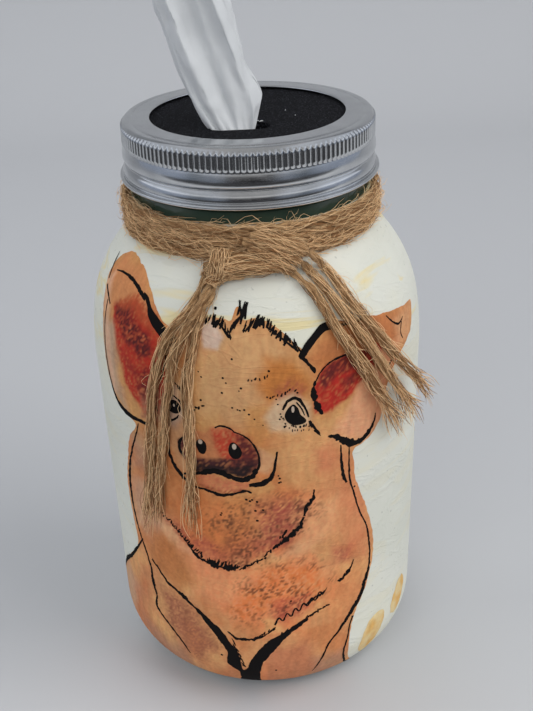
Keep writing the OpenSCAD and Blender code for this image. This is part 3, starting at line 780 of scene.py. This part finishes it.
    # left ear
    wash([[-62, 134], [-55, 141], [-40, 139], [-30, 130], [-36, 124], [-52, 128]], (190, 130, 92), 0.8, 5)
    wash([[-57, 122], [-48, 124], [-46, 108], [-44, 99], [-53, 102]], (170, 146, 126), 0.85, 5)
    wash([[-50, 128], [-40, 132], [-30, 128], [-26, 120], [-28, 106], [-35, 100], [-41, 106], [-46, 116]],
         (160, 56, 46), 1.0, 2.2, 0.25, 0.6)
    wash([[-48, 130], [-40, 133.5], [-31, 129.5], [-30, 124], [-40, 129], [-48, 126.5]], (160, 80, 56),
         0.7, 2, 0.6, 0.5)
    wash([[-48, 128], [-41, 129], [-34, 124], [-30, 119], [-36, 118], [-42, 121], [-46, 124]], (74, 32, 32),
         0.7, 2.5, 0.7, 1.2)
    wash([[-44, 117], [-39, 115.5], [-32, 111], [-31, 107], [-38, 110], [-43, 113.5]], (132, 48, 42), 0.6, 3, 0.5)
    wash([[-36, 106], [-30, 110], [-30, 98], [-37, 98]], (150, 102, 80), 0.7, 3, 0.3)
    wash([[-61, 131], [-57, 136], [-53, 128], [-50, 114], [-47, 101], [-50, 98], [-53, 112], [-56, 124]],
         (204, 164, 138), 0.7, 3)
    wash([[-35, 116], [-31, 112], [-32, 103], [-37, 105]], (96, 36, 34), 0.6, 2.5, 0.8, 1.2)
    # right ear
    wash([[14, 120], [24, 128], [40, 126], [58, 123], [52, 113], [34, 118]], (168, 106, 72), 0.75, 4)
    wash([[44, 123], [58, 124], [55, 115], [46, 113]], (194, 148, 112), 0.8, 4)
    wash([[34, 118], [46, 116], [40, 106], [38, 96], [30, 90], [20, 96], [28, 108]], (206, 152, 120), 0.9, 4)
    wash([[15, 104], [14.5, 112], [18, 117], [24, 119], [34, 118], [40, 119], [36, 114], [31, 111], [26, 107],
          [20, 103.5]], (158, 52, 46), 1.0, 1.6, 0.25, 0.4)
    wash([[16, 113], [19, 117.5], [25, 118.8], [34, 117.6], [30, 115], [22, 114], [18, 110]], (92, 38, 36),
         0.9, 2, 0.5, 0.5)
    wash([[24, 112.5], [29, 114], [28, 110.5], [24, 109]], (98, 42, 38), 0.7, 2, 0.5)
    grey = fbm(p / 3.5, 31)
    near = np.minimum(inside(np.array([[-20, 66], [-8, 74], [12, 76], [12, 68], [2, 60], [-10, 56]], float), q),
                      inside(np.array([[-8, 46], [0, 54], [14, 53], [17, 46], [4, 38], [-8, 34]], float), q))
    dots = np.clip((fine - 0.52) * 8, 0, 1) * np.clip((grey - 0.36) * 5, 0, 1) * np.clip(0.75 - near / 8, 0.08, 0.85)
    dots = dots * (p[:, 1] < 82)
    col = col * (1 - dots[:, None]) + tone(78, 50, 36) * dots[:, None]
    paper = np.clip((fbm(p / [1.2, 4], 33) - 0.5) * 1.2, -0.3, 0.3)[:, None]
    col = col * (1 + 0.28 * paper)
    grey_level = col.mean(1, keepdims=True)
    low = np.clip((84 - p[:, 1]) / 10, 0, 1)[:, None]
    return np.clip(grey_level + (col - grey_level) * (1.12 - 0.06 * low), 0, 1) * (1 + 0.2 * low)


pig = Heap()
patch(pig, soft(PIG, 0.7, 0.35, 3), 0.62, 0.15, colour_pig, edge=0.03)
pig_obj = pig.make("pig_picture", PRINT, "jar", "Wash")
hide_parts("pig_print")

# ---------------------------------------------------------------- ink
ink = Heap()
INK_OFF = 0.19


def pen(points, rough=0.18):
    """A brush line through [distance, height, width]."""
    c = curve(points, 0.35)
    seed = int(rng.integers(999))
    t = np.gradient(c[:, :2], axis=0)
    t /= np.linalg.norm(t, axis=1)[:, None] + 1e-9
    n = np.stack([-t[:, 1], t[:, 0]], 1)
    far = np.arange(len(c))[:, None] * 0.35
    w = np.maximum(c[:, 2:3], 0.12)
    left = c[:, :2] + n * (w / 2 * (1 + rough * 4 * (fbm(np.c_[far / 0.9, far * 0 + 3], seed, 3)[:, None] - 0.5)))
    rite = c[:, :2] - n * (w / 2 * (1 + rough * 4 * (fbm(np.c_[far / 0.9, far * 0 + 9], seed + 5, 3)[:, None] - 0.5)))
    cols = 2 + int(c[:, 2].max() > 1.2) * 2
    u = np.linspace(0, 1, cols)[None, :, None]
    p = left[:, None] * (1 - u) + rite[:, None] * u
    i = np.arange(len(c) - 1)[:, None] * cols + np.arange(cols - 1)[None]
    faces = np.stack([i, i + 1, i + cols + 1, i + cols], -1).reshape(-1, 4)
    p = p.reshape(-1, 2)
    ink.add(place(p[:, 0], p[:, 1], INK_OFF), faces)


def blot(points, cell=0.3, jitter=0.12):
    """A filled ink shape."""
    patch(ink, soft(points, 0.3, jitter, int(rng.integers(999))), cell, INK_OFF)


def ticks(points, count, long, lean, spread=0.35, width=0.5):
    """Short hairs scattered along a line; lean is their direction in degrees, from the way along the sheet."""
    c = curve(points, 0.2)
    for f in np.linspace(0, len(c) - 1, count):
        at = c[int(f), :2] + rng.normal(0, 0.22, 2)
        turn = math.radians(lean + rng.normal(0, 1) * spread * 40)
        half = rng.uniform(0.55, 1.2) * long / 2
        d = np.array([math.cos(turn), math.sin(turn)]) * half
        w = width * rng.uniform(0.7, 1.3)
        pen([[*(at - d), w * 0.8], [*at, w], [*(at + d), w * 0.45]], 0.1)


def dots(places, size=0.5):
    for s, z in places:
        r = size / 2 * rng.uniform(0.7, 1.3)
        pen([[s - r, z + 0.1, r * 1.3], [s, z, r * 2.1], [s + r, z - 0.1, r * 1.2]], 0.1)


# left ear
pen([[-56, 135.6, 0.3], [-52, 136.2, 0.5], [-47, 136.2, 0.8], [-43, 135.5, 1.0], [-39.5, 134.2, 1.1],
     [-36.5, 132.8, 1.0]])
blot([[-38, 134.3], [-35.5, 133.6], [-33.2, 131.4], [-30, 129.4], [-26.5, 127.2], [-23.6, 126], [-23.4, 123.8],
      [-25.4, 123], [-28.4, 124.8], [-31.4, 126.8], [-34, 129.2], [-35.2, 131.6]])
pen([[-61.5, 139, 0.3], [-60.4, 136, 0.6], [-59, 132.5, 0.6]])
pen([[-58.6, 131, 0.7], [-55.5, 129.2, 0.7], [-52.6, 127.4, 0.5]])
pen([[-54.8, 128, 0.5], [-54.2, 122, 0.5], [-53.4, 115, 0.5], [-51.8, 108, 0.6], [-50.2, 102.6, 0.9],
     [-48, 99.4, 1.3], [-44.5, 97.8, 1.7], [-41, 97.2, 1.5], [-37, 97.2, 1.2], [-33, 97, 0.6]])
pen([[-25.8, 124, 0.9], [-26, 121, 0.7], [-27.2, 116.5, 0.6], [-28.2, 113, 0.5]], 0.35)
pen([[-22, 126, 0.7], [-22.6, 122, 0.8], [-23.4, 117, 0.6]], 0.4)
# forehead hair
ticks([[-16.5, 130.8], [-12.5, 131.4]], 8, 2.2, 75)
ticks([[-12.5, 130.6], [-10, 130.4]], 8, 2.8, 64, 0.35, 0.65)
ticks([[-10.4, 130.6], [-7.4, 127.2]], 8, 1.8, 110)
ticks([[-7.2, 129], [-4.6, 132.4]], 9, 2.6, 58, 0.35, 0.6)
ticks([[-5, 133.8], [-3, 133.2]], 8, 4.0, 78, 0.3, 0.6)
ticks([[-3.4, 129.4], [1.6, 131]], 10, 3.2, 62, 0.35, 0.6)
ticks([[0.2, 131], [4, 129.4]], 9, 3.0, 58, 0.35, 0.6)
ticks([[4, 128.8], [8, 125.8]], 10, 2.2, 62, 0.35, 0.6)
ticks([[8, 126.4], [12.6, 121.8]], 13, 1.9, 105, 0.25, 0.55)
pen([[-10.2, 130, 0.5], [-8.4, 127.6, 0.8], [-7.2, 126.9, 0.5]])
pen([[3.2, 129.2, 0.4], [7, 126, 0.5], [11, 122.4, 0.7]])
dots([(-14, 134.5), (-12.2, 133.8), (-16, 132.6)], 0.7)
blot([[11, 121.6], [12.4, 121], [14, 118.6], [15.4, 117], [15.2, 115.6], [14.2, 116.4], [12.8, 118.8],
      [11.4, 120.2]], 0.3, 0.35)
# right ear
blot([[10.8, 121.2], [12.8, 124], [15.4, 126.2], [18, 128.1], [21.4, 128.6], [22.8, 127.6], [22, 126.4],
      [19.2, 126.2], [16.6, 124.6], [14, 122.2], [12.2, 120.4]])
pen([[22.5, 127.4, 0.7], [26, 126.6, 0.6], [30.5, 126.4, 0.5], [34, 127.2, 0.4]])
pen([[41.5, 124.4, 0.3], [44, 121.8, 0.5], [46.4, 120.3, 0.6], [48.6, 120.4, 0.4], [49.8, 121.2, 0.3]], 0.3)
pen([[48.6, 120.2, 0.5], [47.6, 117.4, 0.4], [48.4, 115.2, 0.3]], 0.3)
pen([[15.2, 113.5, 0.5], [14.4, 111, 1.3], [14.8, 107.8, 1.7], [16.2, 104.6, 1.2], [17, 103, 0.5]], 0.55)
pen([[15, 113, 0.4], [17.4, 116.4, 0.5], [21, 118.2, 0.5], [26, 118.8, 0.4]], 0.4)
pen([[18.6, 95.6, 0.5], [21, 94.8, 1.6], [24.4, 92.2, 2.2], [27.6, 90.6, 1.9], [30.6, 91, 1.6], [33, 93, 1.5],
     [34.6, 95.4, 0.9], [35, 97.4, 0.4]], 0.3)
pen([[43.4, 113.2, 0.5], [41, 110.6, 0.6], [38.8, 109.6, 0.4]], 0.3)
# right eye
blot([[6.3, 104.4], [7.2, 106.6], [8.8, 107.7], [10, 106.4], [10.7, 104.2], [12.2, 102.4], [11.6, 101.3],
      [8.9, 101.2], [7, 102.6]], 0.22, 0.1)
pen([[5.8, 106.4, 0.6], [7, 108.5, 0.8], [8.9, 109.5, 0.9], [10.6, 108.6, 0.9], [11.7, 106.7, 0.7],
     [12.5, 104.6, 0.6], [13, 103, 0.4]], 0.25)
pen([[9.6, 108.2, 0.4], [11, 106, 0.4], [11.8, 103.8, 0.3]], 0.1)
ticks([[6, 103.4], [6.6, 101.4]], 5, 0.6, 20, 0.2)
ticks([[6.8, 101], [13, 100.4]], 10, 0.8, 88, 0.3, 0.5)
ticks([[8.2, 99.6], [12.6, 99.3]], 6, 0.9, 88, 0.12, 0.35)
ticks([[13.4, 101], [16, 96.8]], 8, 1.8, -60, 0.25, 0.6)
dots([(5.2, 105.2), (5.4, 104.3), (5.0, 103.6)], 0.5)
ticks([[2.8, 110.4], [6.2, 110.8]], 6, 0.8, 70)
ticks([[6.4, 111.2], [9, 112]], 4, 0.9, 60)
dots([(1.8, 110.6), (4.2, 109.8), (10, 111), (4.6, 108.2), (0.4, 102.1)], 0.45)
# left eye
blot([[-26.8, 105], [-26, 107.2], [-23.8, 107.8], [-22.4, 106], [-22.8, 104.2], [-25, 103.6]], 0.22, 0.16)
pen([[-25, 109.6, 0.4], [-22.8, 108, 0.6], [-21.4, 106, 0.6], [-21, 104.8, 0.4]], 0.2)
pen([[-27.5, 107.6, 0.3], [-25.5, 109.2, 0.4]])
pen([[-30.6, 107.5, 0.5], [-30.9, 105, 0.6], [-30.2, 102.8, 0.4]])
pen([[-28.6, 100.4, 0.6], [-26, 101, 0.7], [-24, 102.2, 0.6], [-23.2, 103.4, 0.3]])
ticks([[-23.5, 113], [-21, 110.4]], 5, 1.6, 120)
ticks([[-18.6, 106], [-15.8, 107.6]], 6, 0.9, 30)
# freckles
dots([(-9, 114.8), (-5, 113.4), (-10.2, 111.9), (-5.6, 112.6), (-16.6, 117.4), (-15.8, 116), (-9.8, 116.2),
      (-16.2, 109.2), (-7.6, 107.6), (-6.2, 107), (-5.6, 106.8), (-4.4, 107), (-3.2, 105.6), (-1.8, 104.1),
      (-7.2, 121.5), (2.6, 118)], 0.5)
ticks([[-3, 115.6], [2, 116.4]], 6, 0.9, 80)
# snout
pen([[-12.8, 101, 0.4], [-11, 101.8, 0.6], [-8.8, 101.2, 0.6], [-7.6, 100.2, 0.4]])
pen([[-7.8, 100.2, 0.4], [-4.6, 98.6, 0.5], [-2.2, 95.6, 0.5], [-1.1, 92, 0.5], [-1.3, 88.6, 0.7], [-3.2, 86, 1.0]],
    0.3)
pen([[-21.6, 97.2, 0.3], [-23.4, 95.4, 0.7], [-24, 92.6, 0.9], [-22.8, 90, 0.6]], 0.3)
blot([[-18.7, 94.6], [-18.3, 96.2], [-17, 96.8], [-15.8, 95.8], [-15.6, 94], [-16.4, 92.2], [-17.8, 92.4]], 0.2, 0.08)
blot([[-9.4, 93.6], [-9, 96], [-7.8, 96.8], [-6.4, 95.4], [-5.7, 93.4], [-6.6, 91.6], [-8.4, 91.6]], 0.2, 0.08)
# mouth
pen([[-23.5, 84.2, 0.5], [-20, 85, 1.1], [-16, 86.4, 1.5], [-12.5, 86.9, 1.6], [-9.6, 85.4, 1.5], [-6, 84.4, 1.4],
     [-3, 86, 1.7], [-1.8, 88.2, 1.0]], 0.35)
pen([[-4.2, 82.8, 1.0], [-1, 83.2, 1.6], [1.6, 84.6, 1.5], [2.8, 87, 0.9], [3.4, 90, 0.7], [4, 93.4, 0.5]], 0.2)
pen([[-27.2, 94.2, 0.5], [-27.6, 90.6, 0.9], [-26.4, 86.8, 1.1], [-24.2, 83.6, 1.2], [-21.6, 81.4, 0.7]], 0.25)
pen([[-20.5, 80.8, 0.5], [-16, 80, 0.8], [-12.2, 79.1, 1.0], [-8.6, 79.8, 0.7], [-5.4, 81, 0.8], [-3.6, 80.2, 0.4]],
    0.35)
dots([(4.1, 85.5), (4.4, 84.6), (4.2, 83.2), (4.7, 83.4), (-5.2, 78), (-4.2, 77.5), (-3.6, 77.9), (-2.2, 77.2),
      (-2.8, 74.2), (-0.6, 74.4), (-2.4, 70.8), (-12.6, 72.9), (-12.9, 72.2), (-24, 82.6), (27.4, 76), (6.6, 41),
      (-16, 19.6), (1.2, 14)], 0.6)
# chin
pen([[14.3, 79.2, 0.5], [13.8, 76.4, 1.1], [12, 74, 1.3], [11.2, 70.8, 0.8]], 0.5)
pen([[11.2, 70.4, 0.6], [9.6, 67.2, 1.1], [6.8, 64.4, 1.4], [3, 61.8, 0.8], [0.6, 60, 1.1]], 0.8)
ticks([[10.4, 68], [5, 63.4]], 14, 2.2, 62, 0.3)
ticks([[5, 63.2], [-1, 58.4]], 12, 1.4, 60, 0.4)
ticks([[-1, 57.6], [-8, 53.6]], 16, 1.5, 48, 0.5)
ticks([[-9, 54], [-18, 55.2]], 26, 2.4, 66, 0.45, 0.5)
pen([[-8.4, 54.4, 0.4], [-12, 53.4, 1.4], [-16, 54.4, 1.5], [-20, 55, 0.9], [-24, 59, 0.6], [-27, 63, 0.4]], 0.9)
ticks([[-19, 55.4], [-28, 64]], 18, 1.6, 52, 0.4)
ticks([[-28, 64], [-35, 69.4]], 12, 1.4, 42, 0.5)
ticks([[6, 67], [4, 64]], 8, 1.6, 70, 0.6)
# chest
pen([[-40, 47.6, 0.9], [-37, 45.2, 0.8], [-33.6, 41.8, 1.0], [-30.6, 40.4, 0.8], [-28, 38.8, 1.6],
     [-26, 37.4, 1.2]], 0.45)
blot([[-29, 39.4], [-25.4, 37.4], [-21.4, 34.6], [-17.4, 31.4], [-15, 28.6], [-12.6, 24.6], [-10.6, 21.6],
      [-10, 16.4], [-9.4, 12], [-12, 14.4], [-14.4, 16.6], [-14.2, 21.2], [-16.4, 25.4], [-19.6, 29.6], [-23, 34.2],
      [-26.6, 37.4]], 0.5, 0.5)
blot([[11.6, 33.4], [7.4, 31.6], [3.6, 29.2], [-0.8, 26.4], [-3.6, 23.4], [-6.4, 18.6], [-8.4, 14.4], [-10.4, 12.8],
      [-11, 9.4], [-12, 5.2], [-14, 3.7], [-5, 3.6], [-4.2, 8.4], [-4, 13.8], [-2.6, 18], [1, 22.4], [3.2, 25.4],
      [6.4, 29], [9.6, 30.8]], 0.5, 0.6)
ticks([[10, 32.4], [14, 35.2]], 10, 1.9, 40, 0.5, 0.6)
ticks([[13.6, 34.8], [18.5, 36.6]], 7, 1.3, 35, 0.6, 0.6)
ticks([[3, 28.4], [10, 32.6]], 12, 2.0, 48, 0.4, 0.5)
ticks([[-9, 16], [-12, 26]], 12, 2.0, 115, 0.3, 0.5)
pen([[-13.5, 29.4, 0.5], [-11, 27.2, 0.9], [-8, 26.8, 1.1], [-4, 27.6, 1.0], [-0.8, 29.4, 0.6], [1, 31.4, 0.5]], 0.5)
ticks([[-4, 27.8], [1.6, 31.4]], 8, 1.2, 50, 0.4)
zig = [[1.4 + 1.28 * k, 33.2 + 0.72 * k + (1.15 if k % 2 else -0.75), 0.55] for k in range(13)]
pen(zig, 0.25)
ticks([[12, 39.6], [17.4, 42]], 9, 2.2, 55, 0.3, 0.55)
ticks([[22.4, 44], [26, 47.4]], 10, 1.5, 55, 0.6, 0.6)
pen([[22.6, 44.4, 1.0], [24.6, 45.6, 1.1], [26.6, 47.8, 0.7], [27.4, 50, 0.5]], 0.6)
# left side
pen([[-38.6, 96, 0.3], [-40, 92.4, 0.6], [-43, 86, 0.8], [-45.4, 80, 1.0], [-46.9, 73, 1.2], [-47.1, 66, 1.0],
     [-46.2, 59.6, 0.9], [-44.4, 53.4, 0.7], [-42.4, 48.6, 0.8], [-40.8, 43, 0.9]], 0.3)
pen([[-41, 45.6, 0.5], [-40.8, 39, 1.3], [-39.8, 34, 1.0], [-40.4, 29.4, 1.1], [-37.6, 26.6, 0.9], [-33, 22.8, 0.8],
     [-29.6, 19.4, 0.6], [-27.6, 16.4, 0.3]], 0.35)
pen([[-43.6, 53.4, 0.5], [-47.4, 48.4, 0.9], [-53, 42, 1.2], [-58.6, 37.2, 1.5], [-62.8, 33, 1.2], [-66, 29, 0.6]],
    0.2)
# right side
pen([[22.6, 91.6, 0.3], [22.8, 86, 0.9], [23.6, 81, 1.0], [24.6, 78.4, 0.9]], 0.25)
pen([[25.4, 91, 0.3], [25.4, 84, 0.6], [25.8, 78.8, 0.6], [27.6, 72.6, 0.5], [29.4, 66.6, 0.5], [32, 61, 0.5],
     [33.4, 55, 0.7], [34, 49, 0.7], [33.6, 44, 1.0], [32.2, 40, 1.4], [30.8, 36, 1.3], [28.4, 32.6, 1.6],
     [25.4, 29, 1.2], [22, 25, 0.8], [18.6, 21.4, 0.7], [17, 18, 0.7], [15, 13.4, 0.5], [13.6, 10, 0.3]], 0.3)
pen([[27.4, 28.6, 0.8], [26.2, 25.4, 0.6], [25.6, 21.4, 0.5], [24.2, 16, 0.8], [25.4, 11, 0.8], [28, 7, 0.7],
     [33, 4.6, 0.5], [40, 3.6, 0.4]], 0.25)
pen([[-60, 5.2, 0.3], [-50, 3.8, 0.4], [-34, 3.9, 0.4], [-20, 3.8, 0.6], [-12, 3.6, 1.0]], 0.3)
ink_obj = ink.make("pig_ink_lines", INK, "jar")

glint = Heap()
for s, z, w, h in ((8.6, 106.2, 0.42, 1.0), (-17.3, 96.0, 0.65, 0.75), (-7.7, 95.4, 0.6, 0.95),
(-24.4, 106.2, 0.3, 0.5)):
    ring = [[s + w * math.cos(q), z + h * math.sin(q)] for q in np.linspace(0, 2 * math.pi, 9)[:-1]]
    patch(glint, soft(ring, 0.2), 0.16, INK_OFF + 0.05)
GLINT = material("print_highlight", tone(176, 158, 140), 0.5)[0]
glint_obj = glint.make("pig_eye_glints", GLINT, "jar")


# two ochre cut-outs low on the right
def colour_straw(p):
    blade = fbm(p / [1.0, 5.0], 61)
    rim = fbm(p / 4, 62)
    w = np.clip((rim - 0.35) * 3, 0, 1)[:, None]
    return tone(212, 190, 142) * (1 - w) + tone(204, 160, 92) * w * (0.85 + 0.3 * blade[:, None])


straw = Heap()
for shape in ([[31, 13], [32, 18], [35, 22.5], [39, 23.5], [42.5, 22], [41.5, 17], [38.5, 11.5], [34.5, 8.5]],
              [[46.5, 19.5], [49, 25], [53, 28], [57, 26.5], [57.5, 22], [53.5, 17.5], [49, 16.5]]):
    patch(straw, soft(shape, 0.6, 0.5, 7), 0.6, 0.15, colour_straw, edge=0.03)
straw_obj = straw.make("straw_pictures", PRINT, "jar", "Wash")
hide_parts("straw_print")

# ---------------------------------------------------------------- the pulled tissue
# The tissue leans back to the left as it rises and opens out above the slit: an oval wrap with one deep
# fold down its front, shallow folds beside it, and a swelling low on its right
cols, rows_up = 150, 130
SHEET_LOW, SLIT_Z, SHEET_TOP = 101, 171, 229.5
z_new = np.concatenate([np.linspace(SHEET_LOW, SLIT_Z, 26)[:-1], np.linspace(SLIT_Z, SHEET_TOP, rows_up - 25)])
up = np.clip((z_new - SLIT_Z) / (SHEET_TOP - SLIT_Z), 0, 1)[:, None]
turn = np.linspace(0, 2 * math.pi, cols)[None]
open_out = 1 - np.exp(-up / 0.12)
half_wide = 5.2 + 5.0 * open_out - 1.2 * up
half_deep = 2.8 + 2.0 * open_out
swell = 1 + 0.28 * np.exp(-((up - 0.18) / 0.1) ** 2) * np.exp(-((turn - 1.5 * math.pi) / 0.7) ** 2)
valley = 4.2 * open_out * np.exp(-((turn - math.pi - 0.25 + 0.5 * up) / 0.28) ** 2)
side_folds = 1.2 * open_out * np.cos(9 * turn + 5 * up)
sheet_co = np.stack([-3 - 17 * up ** 0.85 - half_wide * swell * np.sin(turn),
                     -12 + 13 * up ** 0.8 + (half_deep + side_folds) * np.cos(turn) + valley,
                     z_new[:, None] + 0 * turn], -1)
du = np.gradient(sheet_co, axis=1)
dv = np.gradient(sheet_co, axis=0)
normal = np.cross(du, dv)
normal /= np.linalg.norm(normal, axis=2)[..., None] + 1e-9
flat_u = np.broadcast_to(np.linspace(0, 92, cols)[None], normal.shape[:2])
flat_v = np.broadcast_to(z_new[:, None], normal.shape[:2])
lean_u, lean_v = flat_u + 0.45 * flat_v, flat_v - 0.35 * flat_u
crease = 2.2 * (facets(np.stack([lean_u / 11, lean_v / 15], -1), 71) - 0.5) \
    + 1.0 * (facets(np.stack([lean_v / 6.5 + 7, lean_u / 5.5], -1), 75) - 0.5) \
    + 0.35 * (facets(np.stack([lean_u / 2.2, lean_v / 2.6 + 3], -1), 79) - 0.5)
gather = np.clip((181 - z_new) / 8, 0, 1)[:, None]
push = crease + gather * 0.3 * np.sin(flat_u * 1.15 + 2 * fbm(flat_v[..., None] / [9, 9], 72))
sheet_co = sheet_co + normal * push[..., None]
fold = np.linspace(0, 9, cols)
zig = 2 * np.abs(fold - np.floor(fold + 0.5))
packed = np.stack([-7.6 + 11.2 * fold / 9, -14.2 + 4.4 * zig], -1)
sway = np.stack([fbm(np.stack([z_new[:, None] / 9 + 0 * fold, z_new[:, None] * 0 + fold / 2], -1), seed) - 0.5
                 for seed in (81, 82)], -1) * [1.6, 1.3]
hidden = np.clip((172.2 - z_new) / 6, 0, 1)[:, None, None]
sheet_co[..., :2] = sheet_co[..., :2] * (1 - hidden) + (packed[None] + sway) * hidden
tissue = Heap()
i = np.arange(len(z_new) - 1)[:, None] * cols + np.arange(cols - 1)[None]
tissue.add(sheet_co.reshape(-1, 3) * MM, np.stack([i, i + 1, i + cols + 1, i + cols], -1).reshape(-1, 4))
tissue_obj = tissue.make("pulled_tissue", TISSUE, "tissue")
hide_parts("tissue_plume")

# ---------------------------------------------------------------- floor, backdrop and light
floor_mesh = bpy.data.meshes.new("floor")
reach, back, bend = 1.6, 0.55, 0.18
line = [(-1.2, -0.0002)] + [(back + bend * math.sin(q), bend - bend * math.cos(q) - 0.0002)
                          for q in np.linspace(0, math.pi / 2, 12)] + [(back + bend, 1.8)]
floor_mesh.from_pydata([(x, y, z) for y, z in line for x in (-reach, reach)], [],
                       [(2 * k, 2 * k + 1, 2 * k + 3, 2 * k + 2) for k in range(len(line) - 1)])
floor_mesh.polygons.foreach_set("use_smooth", [True] * len(floor_mesh.polygons))
floor = bpy.data.objects.new("floor", floor_mesh)
scene.collection.objects.link(floor)
# Floor colour by distance from the front: near black in front of the jar as a painted shadow, pale under the jar and a
# little greyer from there back
board, t, p = material("pale_board_painted_front_shadow", tone(165, 166, 168), 0.7)
sep = node(t, "ShaderNodeSeparateXYZ", {"Vector": place_of(t)})
near = node(t, "ShaderNodeMath", {0: sep.outputs["Y"], 1: 1.0}, operation="ADD")
t.links.new(ramp(t, near.outputs[0], [(0.70, (0.02, 0.02, 0.022)), (0.86, tone(196, 197, 198)),
                                      (1.0, tone(174, 175, 177))]),
            p.inputs["Base Color"])
floor_mesh.materials.append(board)

world = bpy.data.worlds.new("world")
scene.world = world
world.use_nodes = True
tree = world.node_tree
back_node = tree.nodes["Background"]
look = node(tree, "ShaderNodeTexCoord")
sep = node(tree, "ShaderNodeSeparateXYZ", {"Vector": look.outputs["Generated"]})
sky = ramp(tree, sep.outputs["Z"], [(0.0, 0.0), (0.08, 0.03), (0.17, 1.3), (0.27, 1.3), (0.36, 0.65), (0.45, 0.75),
                                    (1.0, 0.9)])
beside = node(tree, "ShaderNodeMath", {0: sep.outputs["X"]}, operation="ABSOLUTE")
walls = ramp(tree, beside.outputs[0], [(0.0, (0.05, 0.05, 0.055)), (0.3, (0.10, 0.10, 0.11)),
(0.5, (0.50, 0.56, 0.68)),
                                       (0.75, (0.28, 0.33, 0.40)), (0.9, (0.70, 0.80, 1.0))])
tree.links.new(mix(tree, 1.0, sky, walls, "ADD"), back_node.inputs["Color"])
back_node.inputs["Strength"].default_value = 0.44


def lamp(name, where, target, size, power, colour):
    data = bpy.data.lights.new(name, "AREA")
    data.shape = "RECTANGLE"
    data.size, data.size_y = size
    data.energy = power
    data.color = colour
    obj = bpy.data.objects.new(name, data)
    obj.location = where
    obj.rotation_mode = "QUATERNION"
    obj.rotation_quaternion = (Vector(target) - Vector(where)).to_track_quat("-Z", "Y")
    obj.visible_glossy = False
    scene.collection.objects.link(obj)


lamp("sky_right", (0.75, -0.35, 0.95), (0, 0, 0.1), (0.9, 0.7), 6.2, (1.0, 0.985, 0.96))
lamp("sky_front", (-0.25, -0.95, 0.75), (0, 0, 0.1), (0.9, 0.5), 3.1, (0.95, 0.97, 1.0))
lamp("sky_back", (-0.3, 0.5, 0.9), (0, 0, 0.17), (0.8, 0.4), 2.2, (0.93, 0.96, 1.0))
scene.view_settings.view_transform = "Standard"
